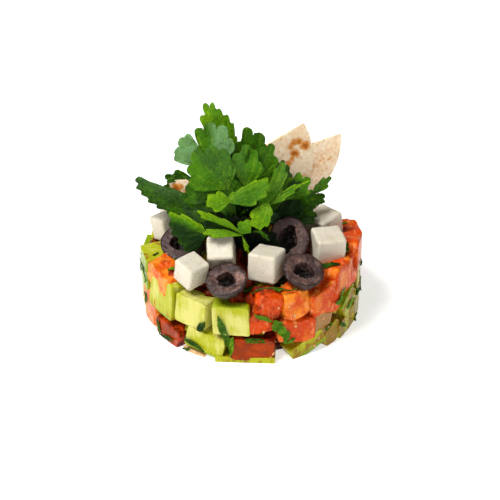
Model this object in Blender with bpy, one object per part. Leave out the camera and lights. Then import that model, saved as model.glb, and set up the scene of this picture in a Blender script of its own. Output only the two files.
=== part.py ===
"""A greek salad turned out of a ring mould, with its toppings.

The drum of diced tomato and cucumber is one solid out to its uneven outline.
Feta cubes, olive halves, flatbread wedges and parsley sprigs are solids of their own,
and each is lodged in a pocket of the drum that is a little wider than itself.

Metres, +Z up.  The origin is the centre of the drum's flat underside and -Y is the front.
A bearing is an angle in degrees round the drum: 0 is the front, 90 the right-hand side.
"""

import math
import random
from collections import namedtuple

import bmesh
import bpy
from mathutils import Euler, Matrix, Vector

MM = 0.001
GAP = 0.35 * MM                 # clearance between a topping and its pocket

# The drum
RING_RADIUS = 48.0 * MM         # inside of the mould
DRUM_HEIGHT = 31.0 * MM
CORE_RADIUS = 41.5 * MM         # pressed middle, behind the outer dice
CORE_HEIGHT = 27.0 * MM
CORE_SIDES = 32
DIE_EDGE = 13.5 * MM            # usual edge of a diced piece
DIE_SINK = 0.42                 # how far in from the mould its middle lies, in its depths
CUT_BELOW = 20.0 * MM           # depth of the slab that trims the underside

# Toppings
FETA_CHAMFER = 0.5 * MM
OLIVE_SIDES = 12
BREAD_THICKNESS = 2.2 * MM
LEAF_THICKNESS = 0.7 * MM
STALK_RADIUS = 0.9 * MM
STALK_SIDES = 5
PETIOLE_SHARE = 0.7             # a leaf's own stalk is thinner than the sprig's

SEED = 11


# ---------------------------------------------------------------- scene helpers

def clear_scene():
    """Remove every object of the open file."""
    for old in list(bpy.data.objects):
        bpy.data.objects.remove(old, do_unlink=True)


def make_material(name, colour, roughness, metallic=0.0):
    """Return a Principled material of one colour."""
    material = bpy.data.materials.new(name)
    material.use_nodes = True
    shader = material.node_tree.nodes["Principled BSDF"]
    shader.inputs["Base Color"].default_value = (*colour, 1.0)
    shader.inputs["Roughness"].default_value = roughness
    shader.inputs["Metallic"].default_value = metallic
    material.diffuse_color = (*colour, 1.0)
    return material


def add_object(name, bm, material=None):
    """Turn a bmesh into an object of the scene, with its faces pointing out."""
    bmesh.ops.recalc_face_normals(bm, faces=bm.faces)
    mesh = bpy.data.meshes.new(name)
    bm.to_mesh(mesh)
    bm.free()
    obj = bpy.data.objects.new(name, mesh)
    bpy.context.scene.collection.objects.link(obj)
    if material:
        mesh.materials.append(material)
    return obj


def round_off(obj, angle=math.radians(40.0)):
    """Shade a piece smooth, except across its sharp edges."""
    obj.data.shade_smooth()
    obj.data.set_sharp_from_angle(angle=angle)


def add_helper(name, bm, group):
    """Add a hidden object that only shapes others, and file it in a collection."""
    obj = add_object(name, bm)
    obj.hide_render = True
    obj.display_type = "WIRE"
    group.objects.link(obj)
    return obj


def new_group(name):
    """Return an empty collection for helper objects."""
    return bpy.data.collections.new(name)


def add_boolean(obj, operation, operand):
    """Combine an object with another, or with every object of a collection."""
    modifier = obj.modifiers.new(operation.title(), "BOOLEAN")
    modifier.operation = operation
    modifier.solver = "EXACT"
    if isinstance(operand, bpy.types.Collection):
        modifier.operand_type = "COLLECTION"
        modifier.collection = operand
    else:
        modifier.object = operand
    return modifier


def on_bearing(bearing, radius, height):
    """Return the point at a bearing, a radius and a height."""
    angle = math.radians(bearing)
    return Vector((radius * math.sin(angle), -radius * math.cos(angle), height))


def turned(degrees):
    """Return a rotation matrix from three angles in degrees."""
    return Euler([math.radians(angle) for angle in degrees]).to_matrix().to_4x4()


# ---------------------------------------------------------------- the drum

# One diced piece at the drum's wall: its bearing, the height of its middle, its width round
# the drum, its depth, its height, and how it is turned (about its own width, depth and height).
Die = namedtuple("Die", "bearing height width depth tall turn")

FRONT_DICE = (
    Die(-76, 26.5, 14.0, 13.0, 13.0, (0, 4, 8)),
    Die(-76, 13.0, 12.0, 13.0, 16.0, (0, 3, -12)),
    Die(-60, 28.0, 12.0, 12.0, 10.0, (8, -10, 20)),
    Die(-64, 7.0, 13.0, 12.0, 13.0, (0, -6, 10)),
    Die(-47, 20.5, 15.0, 13.0, 15.5, (-6, 5, -8)),
    Die(-46, 5.5, 15.0, 12.0, 12.0, (4, 8, 0)),
    Die(-28, 22.0, 12.2, 12.2, 13.0, (-4, 6, 42)),
    Die(-11, 20.5, 15.0, 13.0, 14.5, (-8, -2, 6)),
    Die(-25, 7.5, 17.0, 11.0, 10.0, (6, 14, 4)),
    Die(-6, 6.5, 17.0, 12.0, 10.5, (0, 0, 0)),
    Die(9, 25.0, 12.0, 11.0, 10.0, (8, 12, 18)),
    Die(24, 23.5, 13.0, 12.0, 12.0, (-6, -12, 24)),
    Die(8, 15.5, 12.5, 11.0, 9.0, (6, -8, 4)),
    Die(23, 11.5, 15.0, 11.0, 10.5, (-4, 6, -6)),
    Die(40, 21.0, 16.0, 13.0, 13.0, (4, -8, -10)),
    Die(55, 28.0, 17.0, 13.0, 13.5, (6, 4, 8)),
    Die(36, 9.5, 10.0, 10.0, 9.0, (4, 10, 12)),
    Die(25, 2.5, 13.0, 9.0, 8.0, (0, 20, 0)),
    Die(51, 6.5, 16.0, 11.0, 13.0, (0, -16, 6)),
    Die(62, 16.0, 14.0, 12.0, 9.0, (4, 8, 6)),
    Die(74, 8.0, 13.0, 12.0, 13.0, (0, 6, -8)),
    Die(78, 22.5, 14.0, 12.0, 12.0, (-4, -4, 12)),
    Die(94, 10.0, 14.0, 12.0, 14.0, (0, -4, 4)),
    Die(98, 27.5, 16.0, 12.0, 16.0, (2, 3, -4)),
)
BACK_ROWS = (7.5, 21.5)         # heights of the rows round the back, in millimetres
BACK_BEARINGS = (104.0, 280.0)  # from the last of the front dice round to the first
BACK_STEP = 19.5                # degrees from one to the next
BACK_SIZES = (12.5, 16.5)       # smallest and largest edge, in millimetres
BACK_TILT = 12.0                # most that one is tilted, in degrees
TOP_DICE = 15                   # pieces over the top, between the toppings
TOP_REACH = 36.0 * MM           # how far from the middle they lie
TOP_TURN = 137.5                # degrees round the drum from one of them to the next
FLAT_ANGLE = math.radians(0.5)  # faces closer than this to one plane become one face


def add_die(bm, die):
    """Add one diced piece to a bmesh, its outer side pressed flat by the mould."""
    size = Vector((die.width, die.depth, die.tall)) * MM
    shape = bmesh.ops.create_cube(bm, size=1.0)["verts"]
    place = (
        Matrix.Rotation(math.radians(die.bearing), 4, "Z")
        @ Matrix.Translation((0.0, -(RING_RADIUS - DIE_SINK * size.y), die.height * MM))
        @ turned(die.turn)
        @ Matrix.Diagonal((*size, 1.0))
    )
    bmesh.ops.transform(bm, matrix=place, verts=shape)
    outward = on_bearing(die.bearing, 1.0, 0.0)
    bmesh.ops.bisect_plane(
        bm,
        geom=bm.verts[:] + bm.edges[:] + bm.faces[:],
        plane_co=outward * RING_RADIUS,
        plane_no=outward,
        clear_outer=True,
    )
    bmesh.ops.holes_fill(bm, edges=bm.edges)


def back_dice(rng):
    """Yield the dice round the side and the back, row by row."""
    first, last = BACK_BEARINGS
    for row, height in enumerate(BACK_ROWS):
        bearing = first + BACK_STEP * (0.3 + 0.5 * (row % 2))
        while bearing < last - 5.0:
            size = [rng.uniform(*BACK_SIZES) for _ in range(3)]
            turn = [rng.uniform(-BACK_TILT, BACK_TILT) for _ in range(3)]
            lift = rng.uniform(-1.5, 1.5)
            yield Die(bearing, height + lift, *size, turn)
            bearing += BACK_STEP * rng.uniform(0.85, 1.15)


def add_top_die(bm, index, rng):
    """Add one piece of the top, on a spiral that fills the circle evenly."""
    radius = TOP_REACH * math.sqrt((index + 0.5) / TOP_DICE)
    bearing = TOP_TURN * index
    size = [DIE_EDGE * rng.uniform(0.85, 1.2) for _ in range(3)]
    height = DRUM_HEIGHT - 0.5 * size[2] + rng.uniform(-2.0, 1.0) * MM
    shape = bmesh.ops.create_cube(bm, size=1.0)["verts"]
    place = (
        Matrix.Translation(on_bearing(bearing, radius, height))
        @ turned((rng.uniform(-16, 16), rng.uniform(-16, 16), rng.uniform(0, 90)))
        @ Matrix.Diagonal((*size, 1.0))
    )
    bmesh.ops.transform(bm, matrix=place, verts=shape)


def keep_largest_piece(obj):
    """Apply an object's modifiers and drop the crumbs that the cuts left loose."""
    depsgraph = bpy.context.evaluated_depsgraph_get()
    bm = bmesh.new()
    bm.from_mesh(obj.evaluated_get(depsgraph).to_mesh())
    left = set(bm.verts)
    pieces = []
    while left:
        front = [left.pop()]
        piece = set(front)
        while front:
            vert = front.pop()
            near = {edge.other_vert(vert) for edge in vert.link_edges} & left
            left -= near
            piece |= near
            front.extend(near)
        pieces.append(piece)
    pieces.sort(key=len)
    for crumb in pieces[:-1]:
        bmesh.ops.delete(bm, geom=list(crumb), context="VERTS")
    bmesh.ops.dissolve_limit(
        bm, angle_limit=FLAT_ANGLE, verts=bm.verts[:], edges=bm.edges[:])
    bmesh.ops.triangulate(bm, faces=bm.faces[:])
    obj.modifiers.clear()
    bm.to_mesh(obj.data)
    bm.free()


def build_drum(material, pockets):
    """Build the drum: a core and its dice in one solid, with a pocket for each topping."""
    rng = random.Random(SEED)
    dice = new_group("dice")
    for number, die in enumerate(list(FRONT_DICE) + list(back_dice(rng))):
        bm = bmesh.new()
        add_die(bm, die)
        add_helper(f"die_{number:02d}", bm, dice)
    for index in range(TOP_DICE):
        bm = bmesh.new()
        add_top_die(bm, index, rng)
        add_helper(f"top_die_{index:02d}", bm, dice)

    bm = bmesh.new()
    bmesh.ops.create_cone(
        bm,
        cap_ends=True,
        segments=CORE_SIDES,
        radius1=CORE_RADIUS,
        radius2=CORE_RADIUS,
        depth=CORE_HEIGHT + CUT_BELOW,
        matrix=Matrix.Translation((0.0, 0.0, 0.5 * (CORE_HEIGHT - CUT_BELOW))),
    )
    drum = add_object("salad_base", bm, material)

    bm = bmesh.new()
    bmesh.ops.create_cube(
        bm,
        size=1.0,
        matrix=Matrix.Translation((0.0, 0.0, -CUT_BELOW))
        @ Matrix.Diagonal((4 * RING_RADIUS, 4 * RING_RADIUS, 2 * CUT_BELOW, 1.0)),
    )
    trim = add_helper("underside_trim", bm, new_group("trim"))

    add_boolean(drum, "UNION", dice)
    add_boolean(drum, "DIFFERENCE", trim)
    add_boolean(drum, "DIFFERENCE", pockets)
    keep_largest_piece(drum)


# ---------------------------------------------------------------- feta

# Edge and middle of each cube in millimetres, and its turn in degrees.
Cube = namedtuple("Cube", "edge middle turn")

FETA_CUBES = (
    Cube(9.9, (-24.5, -33.7, 36.1), (14, -3, 43)),
    Cube(10.4, (-12.3, -24.6, 39.6), (34, -6, -2)),
    Cube(11.6, (6.5, -30.6, 37.6), (-6, -2, -24)),
    Cube(11.8, (32.5, -17.2, 38.6), (5, 1, 13)),
    Cube(11.6, (31.7, 0.7, 38.7), (-1, -8, 42)),
    Cube(10.4, (-36.3, 2.0, 37.7), (-15, -4, 37)),
    Cube(11.0, (-34.0, 21.5, 35.6), (8, 5, 20)),
    Cube(10.8, (-7.0, 36.5, 35.0), (-10, 4, 75)),
    Cube(11.2, (23.5, 32.6, 35.6), (6, -9, 40)),
)


def add_feta(bm, cube, grow=0.0):
    """Add a cut cube of feta with slightly blunt edges, or its pocket if it grows."""
    edge = cube.edge * MM + 2.0 * grow
    bmesh.ops.create_cube(bm, size=edge)
    if grow == 0.0:
        bmesh.ops.bevel(
            bm,
            geom=bm.edges[:],
            affect="EDGES",
            offset=FETA_CHAMFER,
            segments=1,
            profile=0.5,
            material=-1,
        )
    place = Matrix.Translation(Vector(cube.middle) * MM) @ turned(cube.turn)
    bmesh.ops.transform(bm, matrix=place, verts=bm.verts[:])


# ---------------------------------------------------------------- olives

# The middle of the cut face in millimetres, the bearing and the rise that the face looks
# along, its two radii and the depth of the half, and the turn of the long axis in the face.
Olive = namedtuple("Olive", "middle bearing rise radii depth roll")

OLIVE_HALVES = (
    Olive((-29.2, -13.0, 38.0), -14, 58, (9.6, 8.6), 8.5, 0),
    Olive((-10.2, -40.7, 36.5), -14, 68, (8.4, 8.4), 8.5, 0),
    Olive((16.0, -17.0, 41.8), 4, 44, (8.5, 9.8), 8.0, -8),
    Olive((21.7, -36.1, 38.0), 24, 64, (8.4, 8.4), 8.5, 0),
    Olive((8.5, 37.0, 34.5), 168, 50, (8.0, 8.6), 8.0, 0),
    Olive((-21.8, 31.2, 34.8), 215, 46, (8.0, 8.0), 8.5, 0),
)
PIT_SHARE = 0.42                # the pit's radius as a share of the olive's
PIT_DEPTH_SHARE = 0.55          # the pit's depth as a share of the half's
PIT_TAPER = 0.75                # how much of both is left where the pit's floor begins
RIM = (0.93, 0.07)              # the edge of the cut face, out and up from its middle
POCKET_LIP = 0.1                # how far a pocket reaches up past the cut face
DOME_STEPS = 4                  # rings from the widest part of the dome to its end


def add_olive(bm, olive, grow=0.0):
    """Add half an olive with the hollow that its stone left, or its pocket if it grows."""
    angles = [0.5 * math.pi * step / DOME_STEPS for step in range(DOME_STEPS)]
    dome = [(math.cos(angle), -math.sin(angle)) for angle in angles]
    profile = [(0.0, -1.0)] + dome[::-1]
    if grow == 0.0:
        wall = (PIT_TAPER * PIT_SHARE, -PIT_TAPER * PIT_DEPTH_SHARE)
        profile += [RIM, (PIT_SHARE, 0.0), wall, (0.0, -PIT_DEPTH_SHARE)]
    else:
        profile += [(1.0, POCKET_LIP), (0.0, POCKET_LIP)]
    verts = [bm.verts.new((across, 0.0, up)) for across, up in profile]
    edges = [bm.edges.new(pair) for pair in zip(verts, verts[1:])]
    bmesh.ops.spin(
        bm,
        geom=verts + edges,
        cent=(0.0, 0.0, 0.0),
        axis=(0.0, 0.0, 1.0),
        angle=math.tau,
        steps=OLIVE_SIDES,
        use_merge=True,
    )
    bmesh.ops.remove_doubles(bm, verts=bm.verts[:], dist=1e-5)
    facing = Matrix.Rotation(math.radians(olive.bearing), 4, "Z") @ Matrix.Rotation(
        math.radians(90.0 - olive.rise), 4, "X")
    size = Vector((olive.radii[0], olive.radii[1], olive.depth)) * MM
    size += Vector((grow, grow, grow))
    place = (
        Matrix.Translation(Vector(olive.middle) * MM)
        @ facing
        @ Matrix.Rotation(math.radians(olive.roll), 4, "Z")
        @ Matrix.Diagonal((*size, 1.0))
    )
    bmesh.ops.transform(bm, matrix=place, verts=bm.verts[:])


# ---------------------------------------------------------------- flatbread

# A wedge cut from a round flatbread and stood on edge: its point in millimetres, the
# bearing that its face looks along, the slope of its upper cut and the angle between its
# two cuts in degrees, its radius, and how far it bows.  A negative angle mirrors it.
Wedge = namedtuple("Wedge", "point bearing slope angle radius bow")

BREAD_WEDGES = (
    Wedge((-8.1, 15.0, 61.4), 3, 30, 78, 36.0, 1.2),
    Wedge((5.4, 19.8, 61.0), 4, 19, 80, 36.0, 1.0),
    Wedge((-4.0, 11.5, 55.4), -4, 2, -64, 33.5, 1.0),
)
BREAD_ARC_STEPS = 8
BREAD_RINGS = 2
POCKET_SPREAD = 2.0             # degrees that a wedge's pocket is wider past each cut


def add_wedge(bm, wedge, grow=0.0):
    """Add a wedge of flatbread standing on edge, or its pocket if it grows."""
    radius = wedge.radius * MM + grow
    wider = POCKET_SPREAD if grow else 0.0
    angle = abs(wedge.angle) + 2.0 * wider
    bmesh.ops.create_grid(bm, x_segments=BREAD_ARC_STEPS, y_segments=BREAD_RINGS, size=1.0)
    for vert in bm.verts:
        turn = math.radians(wedge.slope + wider - 0.5 * angle * (vert.co.x + 1.0))
        reach = 0.5 * (vert.co.y + 1.0) * radius
        vert.co = Vector((reach * math.cos(turn), 0.0, reach * math.sin(turn)))
    bmesh.ops.remove_doubles(bm, verts=bm.verts[:], dist=1e-5)
    thickness = BREAD_THICKNESS + 2.0 * grow
    sheet = bmesh.ops.extrude_face_region(bm, geom=bm.faces[:])
    raised = [item for item in sheet["geom"] if isinstance(item, bmesh.types.BMVert)]
    bmesh.ops.translate(bm, vec=(0.0, thickness, 0.0), verts=raised)
    bmesh.ops.translate(bm, vec=(0.0, -0.5 * thickness, 0.0), verts=bm.verts[:])
    for vert in bm.verts:
        share = math.hypot(vert.co.x, vert.co.z) / radius
        vert.co.y += wedge.bow * MM * math.sin(math.pi * share)
        if wedge.angle < 0:
            vert.co.x = -vert.co.x
    place = Matrix.Translation(Vector(wedge.point) * MM) @ Matrix.Rotation(
        math.radians(wedge.bearing), 4, "Z")
    bmesh.ops.transform(bm, matrix=place, verts=bm.verts[:])


# ---------------------------------------------------------------- parsley

# The outline of a leaf: half the angle that its fan fills in degrees, how many lobes it
# has, how much shorter the outer lobes are, how deep the notches between lobes are, and
# how much its sides belly out half way along.
Fan = namedtuple("Fan", "spread lobes taper notch belly")

BROAD = Fan(54, 5, 0.06, 0.16, 0.35)
ROUND = Fan(36, 4, 0.12, 0.16, 0.35)
NARROW = Fan(24, 4, 0.30, 0.18, 0.28)
POINTED = Fan(27, 6, 0.52, 0.15, 0.10)
FINGER = Fan(17, 3, 0.18, 0.12, 0.30)
BLADE = Fan(15, 4, 0.55, 0.12, 0.10)

# A leaf: where it leaves its stalk and where it ends in millimetres, the bearing and rise
# that its upper side looks along, its outline, how far it is cupped across and curled
# along, and how steeply its two halves fold up from the middle line, in degrees.
Leaf = namedtuple("Leaf", "base tip bearing rise fan cup curl fold")

# A sprig: the points of its main stalk in millimetres, and its leaves.
Sprig = namedtuple("Sprig", "stalk leaves")

SPRIGS = (
    # the upright leaves in front
    Sprig(((-3, -3, 26), (-5, -5, 38), (-7, -9, 48)), (
        Leaf((-9, -13, 63), (-23, -9, 76), -20, 16, BROAD, 20, 14, 0),
        Leaf((-13, -12.5, 57.5), (-28, -9, 63.5), -30, 30, ROUND, 14, 10, 0),
        Leaf((-3, -12, 63), (-2, -8, 81), 0, 12, NARROW, 18, 14, 0),
        Leaf((-1, -9, 62), (9, -4, 79), 26, 12, ROUND, 18, 12, 0),
    )),
    # the tall leaves behind them
    Sprig(((-4, 3, 26), (-6, 4, 40), (-8, 4, 52)), (
        Leaf((-2, 0, 65), (1, 5, 82.5), 20, 10, ROUND, 18, 12, 0),
        Leaf((-14, 2, 67), (-17, 6, 86), -22, 10, ROUND, 20, 10, 0),
        Leaf((-8, 8, 68), (-18.5, 11, 91.7), -24, 8, POINTED, 12, 12, 0),
    )),
    # the leaves that reach out to the left
    Sprig(((-9, 0, 26), (-12, 0, 38), (-14, -1, 46)), (
        Leaf((-19, 8, 63.4), (-30.7, 11, 73.7), -34, 14, ROUND, 14, 8, 0),
        Leaf((-16, -6, 49), (-49, 2, 59), -20, 62, BLADE, 20, 14, 0),
        Leaf((-16, 2, 45), (-30, 5, 50), -80, 50, FINGER, 14, 10, 0),
    )),
    # the low bright leaves in front
    Sprig(((-2, -9, 26), (-3, -14, 36), (-4, -17, 44)), (
        Leaf((-18, -20, 46), (-36, -14, 53), -30, 50, NARROW, 10, 16, 30),
        Leaf((-3, -24, 48), (-21, -26, 55), -10, 64, NARROW, 10, 20, 30),
        Leaf((-5, -20, 60), (-18, -22, 62.5), -16, 30, FINGER, 20, 20, 0),
        Leaf((-6, -19, 59), (6, -15, 70), 6, 30, NARROW, 20, 24, 0),
        Leaf((-3, -26, 50.6), (5, -18, 59.4), -6, 26, ROUND, 24, 24, 0),
        Leaf((1, -20, 56), (21, -13, 65), 10, 50, BLADE, 10, 16, 20),
    )),
    # the leaves to the right of the middle
    Sprig(((3, -3, 26), (5, -5, 36), (7, -7, 46)), (
        Leaf((7, -6, 59), (13.5, -2, 70.5), 34, 14, FINGER, 16, 16, 0),
        Leaf((10, -8, 56), (22, -3, 66), 40, 34, NARROW, 14, 16, 10),
    )),
    # the dark leaves to the right
    Sprig(((6, 4, 26), (9, 3, 34), (12, 0, 40)), (
        Leaf((13, -5, 48.3), (34, 2, 57.6), 30, 46, NARROW, 14, 12, 0),
        Leaf((15, -4, 47), (27, -5, 50), 30, 60, FINGER, 10, 12, 0),
        Leaf((14, 3, 45), (25, 10, 53), 95, 30, FINGER, 14, 12, 0),
    )),
    # the leaves that lean out at the back
    Sprig(((-10, 20, 26), (-11, 21, 34), (-12, 22, 40)), (
        Leaf((-20, 19, 46), (-38, 19, 54), -12, 8, NARROW, 10, 10, 0),
        Leaf((-14, 25, 44), (-20, 36, 55), 200, 40, ROUND, 14, 14, 0),
        Leaf((-8, 25, 44), (6, 35, 54), 160, 40, ROUND, 14, 14, 0),
        Leaf((-11, 24, 48), (-8, 29, 67), 184, 12, ROUND, 14, 12, 0),
    )),
)
LEAF_RINGS = 2
TIP_ROUND = 0.4                 # how far each side of a lobe's middle keeps its full reach


def leaf_spokes(fan):
    """Return a leaf's outline, notch by notch: angles in degrees, reaches, notch depths."""
    half = fan.spread / fan.lobes
    spokes = []
    for lobe in range(fan.lobes):
        middle = (2 * lobe + 1) * half - fan.spread
        for offset in (-1.0, -TIP_ROUND, TIP_ROUND):
            angle = middle + offset * half
            reach = 1.0 - fan.taper * (angle / fan.spread) ** 2
            spokes.append((angle, reach, fan.notch if offset == -1.0 else 0.0))
    spokes.append((fan.spread, 1.0 - fan.taper, fan.notch))
    return spokes


def add_leaf(bm, leaf):
    """Add a lobed leaf of parsley, cupped, curled and folded, as a thin closed solid."""
    base = Vector(leaf.base) * MM
    run = Vector(leaf.tip) * MM - base
    length = run.length
    spokes = leaf_spokes(leaf.fan)
    bmesh.ops.create_grid(bm, x_segments=len(spokes) - 1, y_segments=LEAF_RINGS, size=1.0)
    for vert in bm.verts:
        column = round(0.5 * (vert.co.x + 1.0) * (len(spokes) - 1))
        degrees, reach, notch = spokes[column]
        angle = math.radians(degrees)
        share = 0.5 * (vert.co.y + 1.0)
        reach *= share * length * (1.0 - notch * share ** 4)
        full = 1.0 + leaf.fan.belly * math.sin(math.pi * share)
        vert.co = Vector((reach * math.sin(angle) * full, reach * math.cos(angle), 0.0))
    bmesh.ops.remove_doubles(bm, verts=bm.verts[:], dist=1e-5)
    sheet = bmesh.ops.extrude_face_region(bm, geom=bm.faces[:])
    raised = [item for item in sheet["geom"] if isinstance(item, bmesh.types.BMVert)]
    bmesh.ops.translate(bm, vec=(0.0, 0.0, LEAF_THICKNESS), verts=raised)
    bmesh.ops.translate(bm, vec=(0.0, 0.0, -0.5 * LEAF_THICKNESS), verts=bm.verts[:])
    cup = math.radians(leaf.cup) / length
    curl = math.radians(leaf.curl) / length
    fold = math.tan(math.radians(leaf.fold))
    for vert in bm.verts:
        across, along = vert.co.x, vert.co.y
        vert.co.z += cup * across * across - curl * along * (along - length)
        vert.co.z += fold * abs(across)
    facing = on_bearing(leaf.bearing, math.cos(math.radians(leaf.rise)),
                        math.sin(math.radians(leaf.rise)))
    forward = run.normalized()
    side = forward.cross(facing).normalized()
    upward = side.cross(forward)
    frame = Matrix((side, forward, upward)).transposed().to_4x4()
    bmesh.ops.transform(bm, matrix=Matrix.Translation(base) @ frame, verts=bm.verts[:])
    bmesh.ops.triangulate(bm, faces=bm.faces[:])


def add_tube(bm, points, radius):
    """Add a closed round tube along a few points."""
    rings = []
    for index, point in enumerate(points):
        before = points[max(index - 1, 0)]
        after = points[min(index + 1, len(points) - 1)]
        turn = (after - before).to_track_quat("Z", "Y").to_matrix().to_4x4()
        ring = bmesh.ops.create_circle(
            bm,
            segments=STALK_SIDES,
            radius=radius,
            matrix=Matrix.Translation(point) @ turn,
        )["verts"]
        rings.append([edge for edge in bm.edges if all(v in ring for v in edge.verts)])
    for low, high in zip(rings, rings[1:]):
        bmesh.ops.bridge_loops(bm, edges=low + high)
    bmesh.ops.holes_fill(bm, edges=rings[0] + rings[-1])


def build_sprig(name, sprig, material, pockets):
    """Build one sprig: a stalk, and leaves that grow out of its upper end."""
    stalk = [Vector(point) * MM for point in sprig.stalk]
    bm = bmesh.new()
    add_tube(bm, stalk, STALK_RADIUS)
    plant = add_object(name, bm, material)
    growth = new_group(name + "_growth")
    for number, leaf in enumerate(sprig.leaves):
        base = Vector(leaf.base) * MM
        run = (Vector(leaf.tip) * MM - base).normalized()
        bm = bmesh.new()
        add_tube(bm, [stalk[-1] - (base - stalk[-1]).normalized() * MM, base + 2.0 * MM * run],
                 PETIOLE_SHARE * STALK_RADIUS)
        add_helper(f"{name}_petiole_{number}", bm, growth)
        bm = bmesh.new()
        add_leaf(bm, leaf)
        add_helper(f"{name}_leaf_{number}", bm, growth)
    union = add_boolean(plant, "UNION", growth)
    union.use_self = True
    bm = bmesh.new()
    add_tube(bm, [stalk[0] - (stalk[1] - stalk[0]).normalized() * 2.0 * GAP, stalk[1]],
             STALK_RADIUS + GAP)
    add_helper(name + "_pocket", bm, pockets)
    round_off(plant)
    return plant


# ---------------------------------------------------------------- the whole salad

def build_set(prefix, add_shape, items, material, pockets):
    """Build each item of one kind as an object of its own, with a pocket for the drum."""
    for number, item in enumerate(items, start=1):
        name = f"{prefix}_{number:02d}"
        bm = bmesh.new()
        add_shape(bm, item)
        obj = add_object(name, bm, material)
        round_off(obj)
        bm = bmesh.new()
        add_shape(bm, item, GAP)
        add_helper(name + "_pocket", bm, pockets)


def main():
    """Build the salad."""
    clear_scene()
    dice = make_material("diced_vegetables", (0.62, 0.23, 0.06), 0.35)
    feta = make_material("feta", (0.84, 0.82, 0.74), 0.6)
    olive = make_material("black_olive", (0.05, 0.03, 0.035), 0.3)
    bread = make_material("flatbread", (0.84, 0.68, 0.48), 0.8)
    parsley = make_material("parsley", (0.12, 0.32, 0.03), 0.45)

    pockets = new_group("pockets")
    build_set("feta_cube", add_feta, FETA_CUBES, feta, pockets)
    build_set("olive_half", add_olive, OLIVE_HALVES, olive, pockets)
    build_set("flatbread_wedge", add_wedge, BREAD_WEDGES, bread, pockets)
    for number, sprig in enumerate(SPRIGS, start=1):
        build_sprig(f"parsley_sprig_{number:02d}", sprig, parsley, pockets)
    build_drum(dice, pockets)


main()
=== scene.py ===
"""A greek salad turned out of a ring mould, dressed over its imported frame.

The diced vegetables, the toppings and the parsley are each built at true size where the frame
has them, and stand for the frame's plain solids.

Metres, +Z up, and -Y is the front.  A bearing is an angle in degrees round the drum: 0 is the
front and 90 the right-hand side.  Places in the tables are in millimetres.
"""

from __future__ import annotations

import logging
import math
import random
from collections.abc import Callable, Iterable, Sequence
from dataclasses import dataclass
from enum import Enum
from typing import NamedTuple

import bmesh
import bpy
from mathutils import Euler, Matrix, Vector, noise
from mathutils.bvhtree import BVHTree


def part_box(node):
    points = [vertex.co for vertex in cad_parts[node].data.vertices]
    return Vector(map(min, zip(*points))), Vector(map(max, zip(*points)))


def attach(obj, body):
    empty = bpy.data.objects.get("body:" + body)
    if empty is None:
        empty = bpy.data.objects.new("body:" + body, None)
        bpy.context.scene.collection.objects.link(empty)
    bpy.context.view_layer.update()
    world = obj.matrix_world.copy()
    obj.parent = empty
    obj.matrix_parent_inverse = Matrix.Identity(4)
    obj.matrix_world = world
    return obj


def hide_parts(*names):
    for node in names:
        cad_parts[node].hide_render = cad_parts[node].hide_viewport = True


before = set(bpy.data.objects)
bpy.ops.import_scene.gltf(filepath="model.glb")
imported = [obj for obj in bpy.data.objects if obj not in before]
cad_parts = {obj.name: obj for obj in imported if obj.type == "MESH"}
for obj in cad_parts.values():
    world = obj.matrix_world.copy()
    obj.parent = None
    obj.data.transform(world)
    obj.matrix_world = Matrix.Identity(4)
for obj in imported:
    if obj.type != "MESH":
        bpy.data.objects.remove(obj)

LOG = logging.getLogger("salad")

Colour = tuple[float, float, float]
Triple = tuple[float, float, float]

MM = 0.001
RING_RADIUS = 48.0 * MM         # inside of the mould that pressed the drum
NOISE_SEED = 7                  # makes every run build the same bumps and ruffles
MIX_SOCKETS = (0, 6, 7)         # the Mix node's inputs for a share and two colours
MIXED_COLOUR = 2                # and its output for a colour


# ---------------------------------------------------------------- small helpers

def srgb(red: float, green: float, blue: float) -> Colour:
    """Return a linear colour for a display colour.

    Args:
        red: red from 0 to 255.
        green: green from 0 to 255.
        blue: blue from 0 to 255.

    Returns:
        The linear red, green and blue from 0 to 1.
    """
    def linear(value: float) -> float:
        """Return one channel as linear light."""
        share = value / 255.0
        return share / 12.92 if share <= 0.04045 else ((share + 0.055) / 1.055) ** 2.4

    return linear(red), linear(green), linear(blue)


def on_bearing(bearing: float, radius: float, height: float) -> Vector:
    """Return the point at a bearing in degrees, a radius and a height."""
    angle = math.radians(bearing)
    return Vector((radius * math.sin(angle), -radius * math.cos(angle), height))


def turned(degrees: Triple) -> Matrix:
    """Return a rotation from three angles in degrees."""
    return Euler([math.radians(angle) for angle in degrees]).to_matrix().to_4x4()


def ease(value: float) -> float:
    """Return a value from 0 to 1 eased at both ends."""
    share = min(max(value, 0.0), 1.0)
    return share * share * (3.0 - 2.0 * share)


def scaled(point: Iterable[float], size: Iterable[float]) -> Vector:
    """Return a point stretched by a size along each axis."""
    return Vector(a * b for a, b in zip(point, size))


def roughly(point: Vector, size: float, seed: float) -> Vector:
    """Return smooth random offsets from about -1 to 1.

    Args:
        point: where to read them.
        size: the width of the bumps, in metres.
        seed: a number that gives each piece bumps of its own.

    Returns:
        One offset along each axis.
    """
    return noise.noise_vector(point / size + Vector((seed, 1.7 * seed, -2.3 * seed)))


def as_mesh(name: str, bm: bmesh.types.BMesh) -> bpy.types.Mesh:
    """Return a bmesh as a new mesh, and free it."""
    mesh = bpy.data.meshes.new(name)
    bm.to_mesh(mesh)
    bm.free()
    return mesh


def pour(part: bmesh.types.BMesh, bm: bmesh.types.BMesh) -> None:
    """Add all of one bmesh to another, and free it."""
    mesh = as_mesh("part", part)
    bm.from_mesh(mesh)
    bpy.data.meshes.remove(mesh)


def put(name: str, data: bpy.types.ID) -> bpy.types.Object:
    """Return a new object in the scene."""
    item = bpy.data.objects.new(name, data)
    bpy.context.scene.collection.objects.link(item)
    return item


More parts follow.
